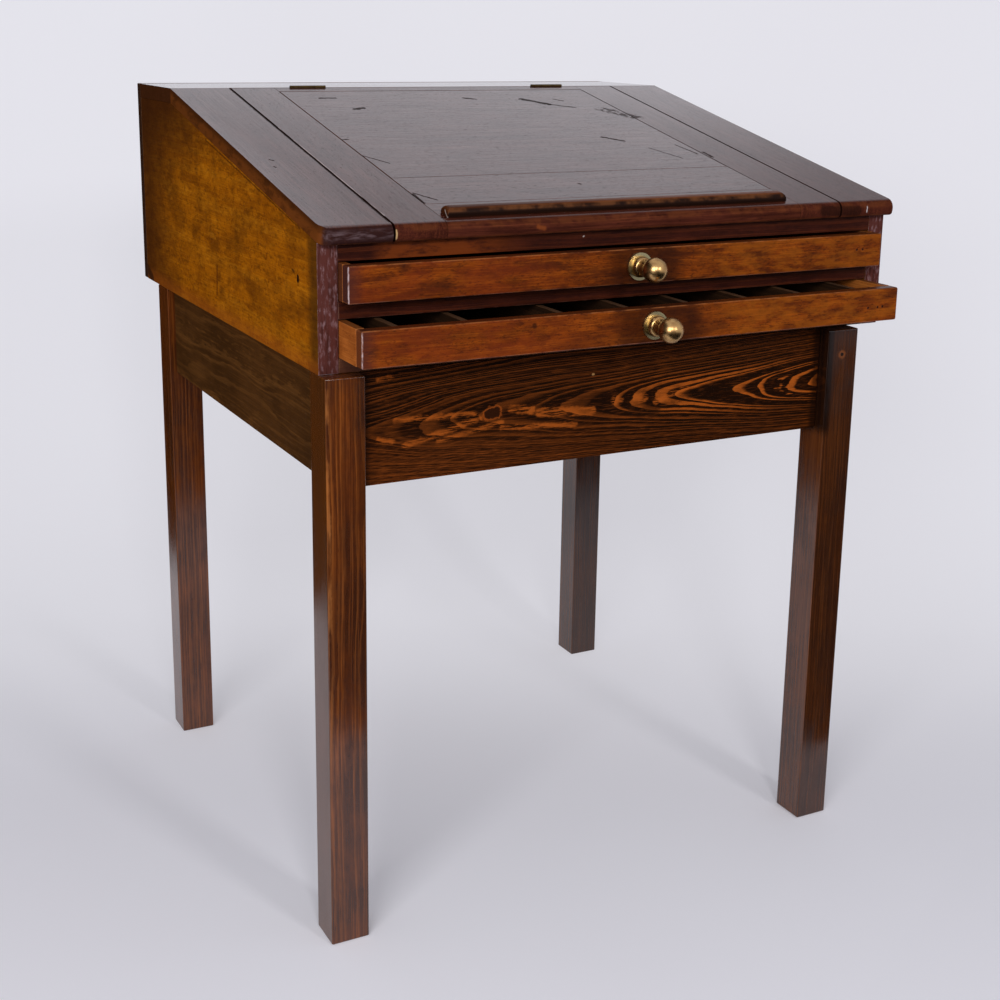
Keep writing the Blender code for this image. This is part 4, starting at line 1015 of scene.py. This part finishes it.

# %% [markdown]
# ## The drawers
# The drawer fronts are an orange-brown wood with a lively, broken figure of short dark flecks. They carry
# painted shade round the knobs, and are purplish at the left ends, with a painted highlight along the left
# arris. The upper drawer's left end face carries painted shade. Each front has a few old nail holes at the
# right.

# %% Drawer fronts
FRONT_TONES = ((76, 30, 6), (132, 60, 11), (180, 96, 22))
FRONT_END = 0.3325
LOWER_KNOT = (-0.144, 0.672)
FRONTS = {
    "upper": {"heart": (0.5, 0.33, -0.70), "face": -0.30445, "low": 0.7008, "high": 0.7388, "dark": 0.92,
              "end": (72, 40, 34), "knob_shade": (-0.055, -0.022, 0.040, 0.068),
              "holes": [(0.297, 0.7215), (0.3055, 0.7215)]},
    "lower": {"heart": (1.9, 0.37, -0.64), "face": -0.33865, "low": 0.6428, "high": 0.6808, "dark": 0.50,
              "end": (112, 58, 28), "knob_shade": (-0.060, -0.032, 0.046, 0.075),
              "holes": [(0.290, 0.6595), (0.304, 0.6595), (0.311, 0.6598)]},
}
fronts = {}
for drawer, facts in FRONTS.items():
    front = Board(drawer + "_drawer_front", "wood", "sideways", facts["heart"], FRONT_TONES,
                  rings=(0.0080, 0.15), fibres=(0.0011, 0.50), mottle=(0.010, 0.80), pores=0.60,
                  wander=0.018, polish=0.30, shine=0.05, relief=0.00005)
    front.lay((70, 29, 9), facts["dark"], front.cloud((0.06, 0.06, 0.016), 0.46, 0.64))
    front.lay((46, 18, 8), 0.6, front.cloud((0.006, 0.006, 0.0016), 0.54, 0.64))
    front.lay((150, 80, 16), 0.45, front.along("X", 0.06, 0.12),
              front.cloud((0.03, 0.03, 0.01), 0.40, 0.62))
    front.lay((112, 42, 16), 0.45, front.along("X", -0.05, -0.16),
              front.cloud((0.05, 0.05, 0.02), 0.35, 0.60))
    # Painted shade round the knob.
    front.lay((40, 16, 7), 0.72, front.between("X", *facts["knob_shade"]))
    front.lay((66, 34, 30), 0.65, front.along("X", -0.312, -0.332))
    # The end face's own colour; on the upper drawer it is painted shade.
    front.lay(facts["end"], 0.8, front.facing(LEFTWARD))
    front.lay((64, 31, 16), 0.65, front.facing(UPWARD))
    for place in facts["holes"]:
        hole = front.mark(*on_front(facts["face"], place, place), 0.0008, 0.0010)
        front.lay((30, 13, 7), 1.0, hole)
        front.dent(hole, 6.0)
    front.wear_and_glint((160, 95, 50), 0.6, 0.02)
    left_foot, right_foot, left_head = on_front(
        facts["face"], (-FRONT_END, facts["low"]), (FRONT_END, facts["low"]), (-FRONT_END, facts["high"]))
    front.lay((150, 104, 96), 0.6, front.mark(left_foot, right_foot, 0.0004, 0.0010),
              front.cloud((0.03, 0.03, 0.03), 0.35, 0.60))
    # Painted highlight: a near-white line along the left arris.
    front.lay((204, 186, 188), 0.7, front.mark(left_foot, left_head, 0.0005, 0.0012, 0.0008),
              front.cloud((0.003, 0.003, 0.008), 0.36, 0.58))
    fronts[drawer] = front
front = fronts["lower"]
lower_knot = on_front(FRONTS["lower"]["face"], LOWER_KNOT, LOWER_KNOT)
front.lay((40, 17, 8), 0.8, front.mark(*lower_knot, 0.0015, 0.0030, 0.0015))
print("dressed", len(fronts), "drawer fronts")

# %% [markdown]
# Behind the fronts, the drawer sides are a lighter orange, but the upper drawer's carry painted shade on
# their left faces. The backs, bottoms and thin dividers are raw pine; the dividers are kept darker, partly
# as painted shade of the drawer's dark inside, and their tops are painted lighter where light catches them.

# %% Drawer boxes
SIDE_OF_DRAWER_TONES = ((126, 62, 22), (188, 106, 44), (206, 130, 60))
# The dividers' tones are partly painted shade of the drawer's dark inside.
DIVIDER_TONES_AND_SHADE = ((27, 15, 8), (46, 28, 15), (68, 43, 24))
DIVIDERS = 8
for drawer, shift in {"upper": 0.0, "lower": 3.3}.items():
    for hand, heart in {"left": (0.3 + shift, 0.36, -0.66), "right": (1.4 + shift, -0.30, -0.68)}.items():
        side = Board(f"{drawer}_drawer_side_{hand}", "wood", "front_to_back", heart, SIDE_OF_DRAWER_TONES,
                     rings=(0.0060, 0.35), fibres=(0.0013, 0.4), mottle=(0.02, 0.6), pores=0.35,
                     wander=0.012, polish=0.42, shine=0.02, relief=0.00006)
        side.wear_and_glint((176, 120, 76), 0.5, 0.02)
        side.lay((70, 37, 20), 0.7, side.facing(UPWARD))
        if drawer == "upper":
            # Painted shade on the upper drawer's left faces.
            side.lay((66, 36, 28), 0.85, side.facing(LEFTWARD))
    for piece, heart in {"back": (0.8 + shift, -0.10, -0.66), "bottom": (2.5 + shift, 0.03, -0.60)}.items():
        raw = Board(f"{drawer}_drawer_{piece}", "pine", "sideways", heart, FLOOR_TONES, rings=(0.0055, 0.45),
                    mottle=(0.05, 0.7), wander=0.018, polish=0.55, shine=0.15)
        raw.wear_and_glint((104, 72, 44), 0.5, 0.02)
for number in range(1, DIVIDERS + 1):
    heart = (0.37 * number, 0.05 * number, -0.60)
    divider = Board(f"lower_drawer_divider_{number}", "pine", "front_to_back", heart, DIVIDER_TONES_AND_SHADE,
                    rings=(0.0050, 0.4), fibres=(0.0012, 0.4), mottle=(0.04, 0.6), pores=0.2, wander=0.010,
                    polish=0.55, shine=0.15, relief=0.00006)
    # Painted highlight: the divider tops are lighter where light catches them.
    divider.lay((92, 64, 44), 0.6, divider.facing(UPWARD))
    divider.wear_and_glint((104, 70, 42), 0.6, 0.012)
print("dressed the drawer boxes and", DIVIDERS, "dividers")

# %% [markdown]
# ## Brass
# Old brass is never one colour: it is bright where it is rubbed, brown where it has tarnished, and
# specked with green. Two layers of noise of different sizes give the tarnish and the specks, and the
# tarnish is duller.

# %% Group: aged brass
TARNISH_SHARE, SPECK_SHARE, TARNISH_DULLS = 0.55, 0.5, 0.10
aged, given, made = new_group(
    "Aged brass", {"Vector": ["Place"], "Color": ["Bright", "Brown", "Green"], "Float": ["Polish"]},
    {"Color": ["Colour"], "Float": ["Roughness"]})
tarnish = ease(aged, noise(aged, stretch(aged, given["Place"], 160, 160, 160), 4.0, 0.6), 0.40, 0.70)
specks = ease(aged, noise(aged, stretch(aged, given["Place"], 900, 900, 900)), 0.60, 0.72)
metal = mix_colour(aged, reckon(aged, "MULTIPLY", tarnish, TARNISH_SHARE), given["Bright"], given["Brown"])
metal = mix_colour(aged, reckon(aged, "MULTIPLY", specks, SPECK_SHARE), metal, given["Green"])
aged.links.new(metal, made["Colour"])
aged.links.new(reckon(aged, "MULTIPLY_ADD", tarnish, TARNISH_DULLS, given["Polish"]), made["Roughness"])
print("aged brass uses", len(aged.nodes), "nodes")

# %% [markdown]
# The knobs are turned brass, rubbed to a soft beige on the ball and greenish round the rim, where polish
# was left behind. Turning leaves very fine rings round the knob, so its relief changes along the knob's
# axis. The hinges are the same metal, gone brown.

# %% Knobs and hinges
BRASS_RELIEF = 0.00001


def brass_finish(name, tones, polish, relief_stretch, nodes):
    """Puts aged brass on the named solids. Returns its tree, its shader and where its points are."""
    material, tree, shader, coordinates = new_material(name)
    place = coordinates["Object"]
    sockets = {"Place": place, "Polish": polish}
    sockets.update(zip(("Bright", "Brown", "Green"), [stain(*tone) for tone in tones]))
    brass = put(tree, "ShaderNodeGroup", {"node_tree": aged}, sockets).outputs
    tree.links.new(brass["Colour"], shader.inputs["Base Color"])
    tree.links.new(brass["Roughness"], shader.inputs["Roughness"])
    shader.inputs["Metallic"].default_value = 1.0
    fine = noise(tree, stretch(tree, place, *relief_stretch))
    bump = put(tree, "ShaderNodeBump", None, {"Height": fine, "Strength": 1.0, "Distance": BRASS_RELIEF})
    tree.links.new(bump.outputs[0], shader.inputs["Normal"])
    put_on(material, *nodes)
    return tree, shader, place


KNOB_TONES = ((190, 152, 100), (136, 92, 56), (150, 138, 84))
TURNED_RINGS = (60, 2600, 60)
KNOB_HEIGHTS = {"upper": 0.7198, "lower": 0.6618}
RIM_STARTS, RIM_IS_WHOLE = 0.0108, 0.0124
RIM_AHEAD_OF_FRONT, RIM_NEAR_FRONT = 0.0060, 0.0045
RIM_COLOUR, RIM_SHARE = (196, 190, 148), 0.75
HINGE_TONES = ((80, 64, 40), (52, 39, 23), (66, 62, 43))
CAST_GRAIN = (700, 700, 700)
for drawer, knob_height in KNOB_HEIGHTS.items():
    tree, shader, place = brass_finish(drawer + "_knob_brass", KNOB_TONES, 0.27, TURNED_RINGS,
                                       [f"{drawer}_drawer_knob", f"{drawer}_drawer_knob_nut"])
    from_axis = vector(tree, "SUBTRACT", place, (0, 0, knob_height))
    axis_distance = vector(tree, "LENGTH", stretch(tree, from_axis, 1, 0, 1))
    depth = put(tree, "ShaderNodeSeparateXYZ", None, {0: place}).outputs["Y"]
    face = FRONTS[drawer]["face"]
    near_wood = ease(tree, depth, face - RIM_AHEAD_OF_FRONT, face - RIM_NEAR_FRONT)
    rim = reckon(tree, "MULTIPLY", ease(tree, axis_distance, RIM_STARTS, RIM_IS_WHOLE), near_wood)
    colour = shader.inputs["Base Color"]
    rim_amount = reckon(tree, "MULTIPLY", rim, RIM_SHARE)
    tree.links.new(mix_colour(tree, rim_amount, feeds(colour), RIM_COLOUR), colour)
hinge_nodes = [node for node in frame["nodes"] if node.startswith("hinge")]
brass_finish("hinge_brass_brown", HINGE_TONES, 0.48, CAST_GRAIN, hinge_nodes)
print("brass on", len(hinge_nodes), "hinge pieces and", len(KNOB_HEIGHTS), "knobs")
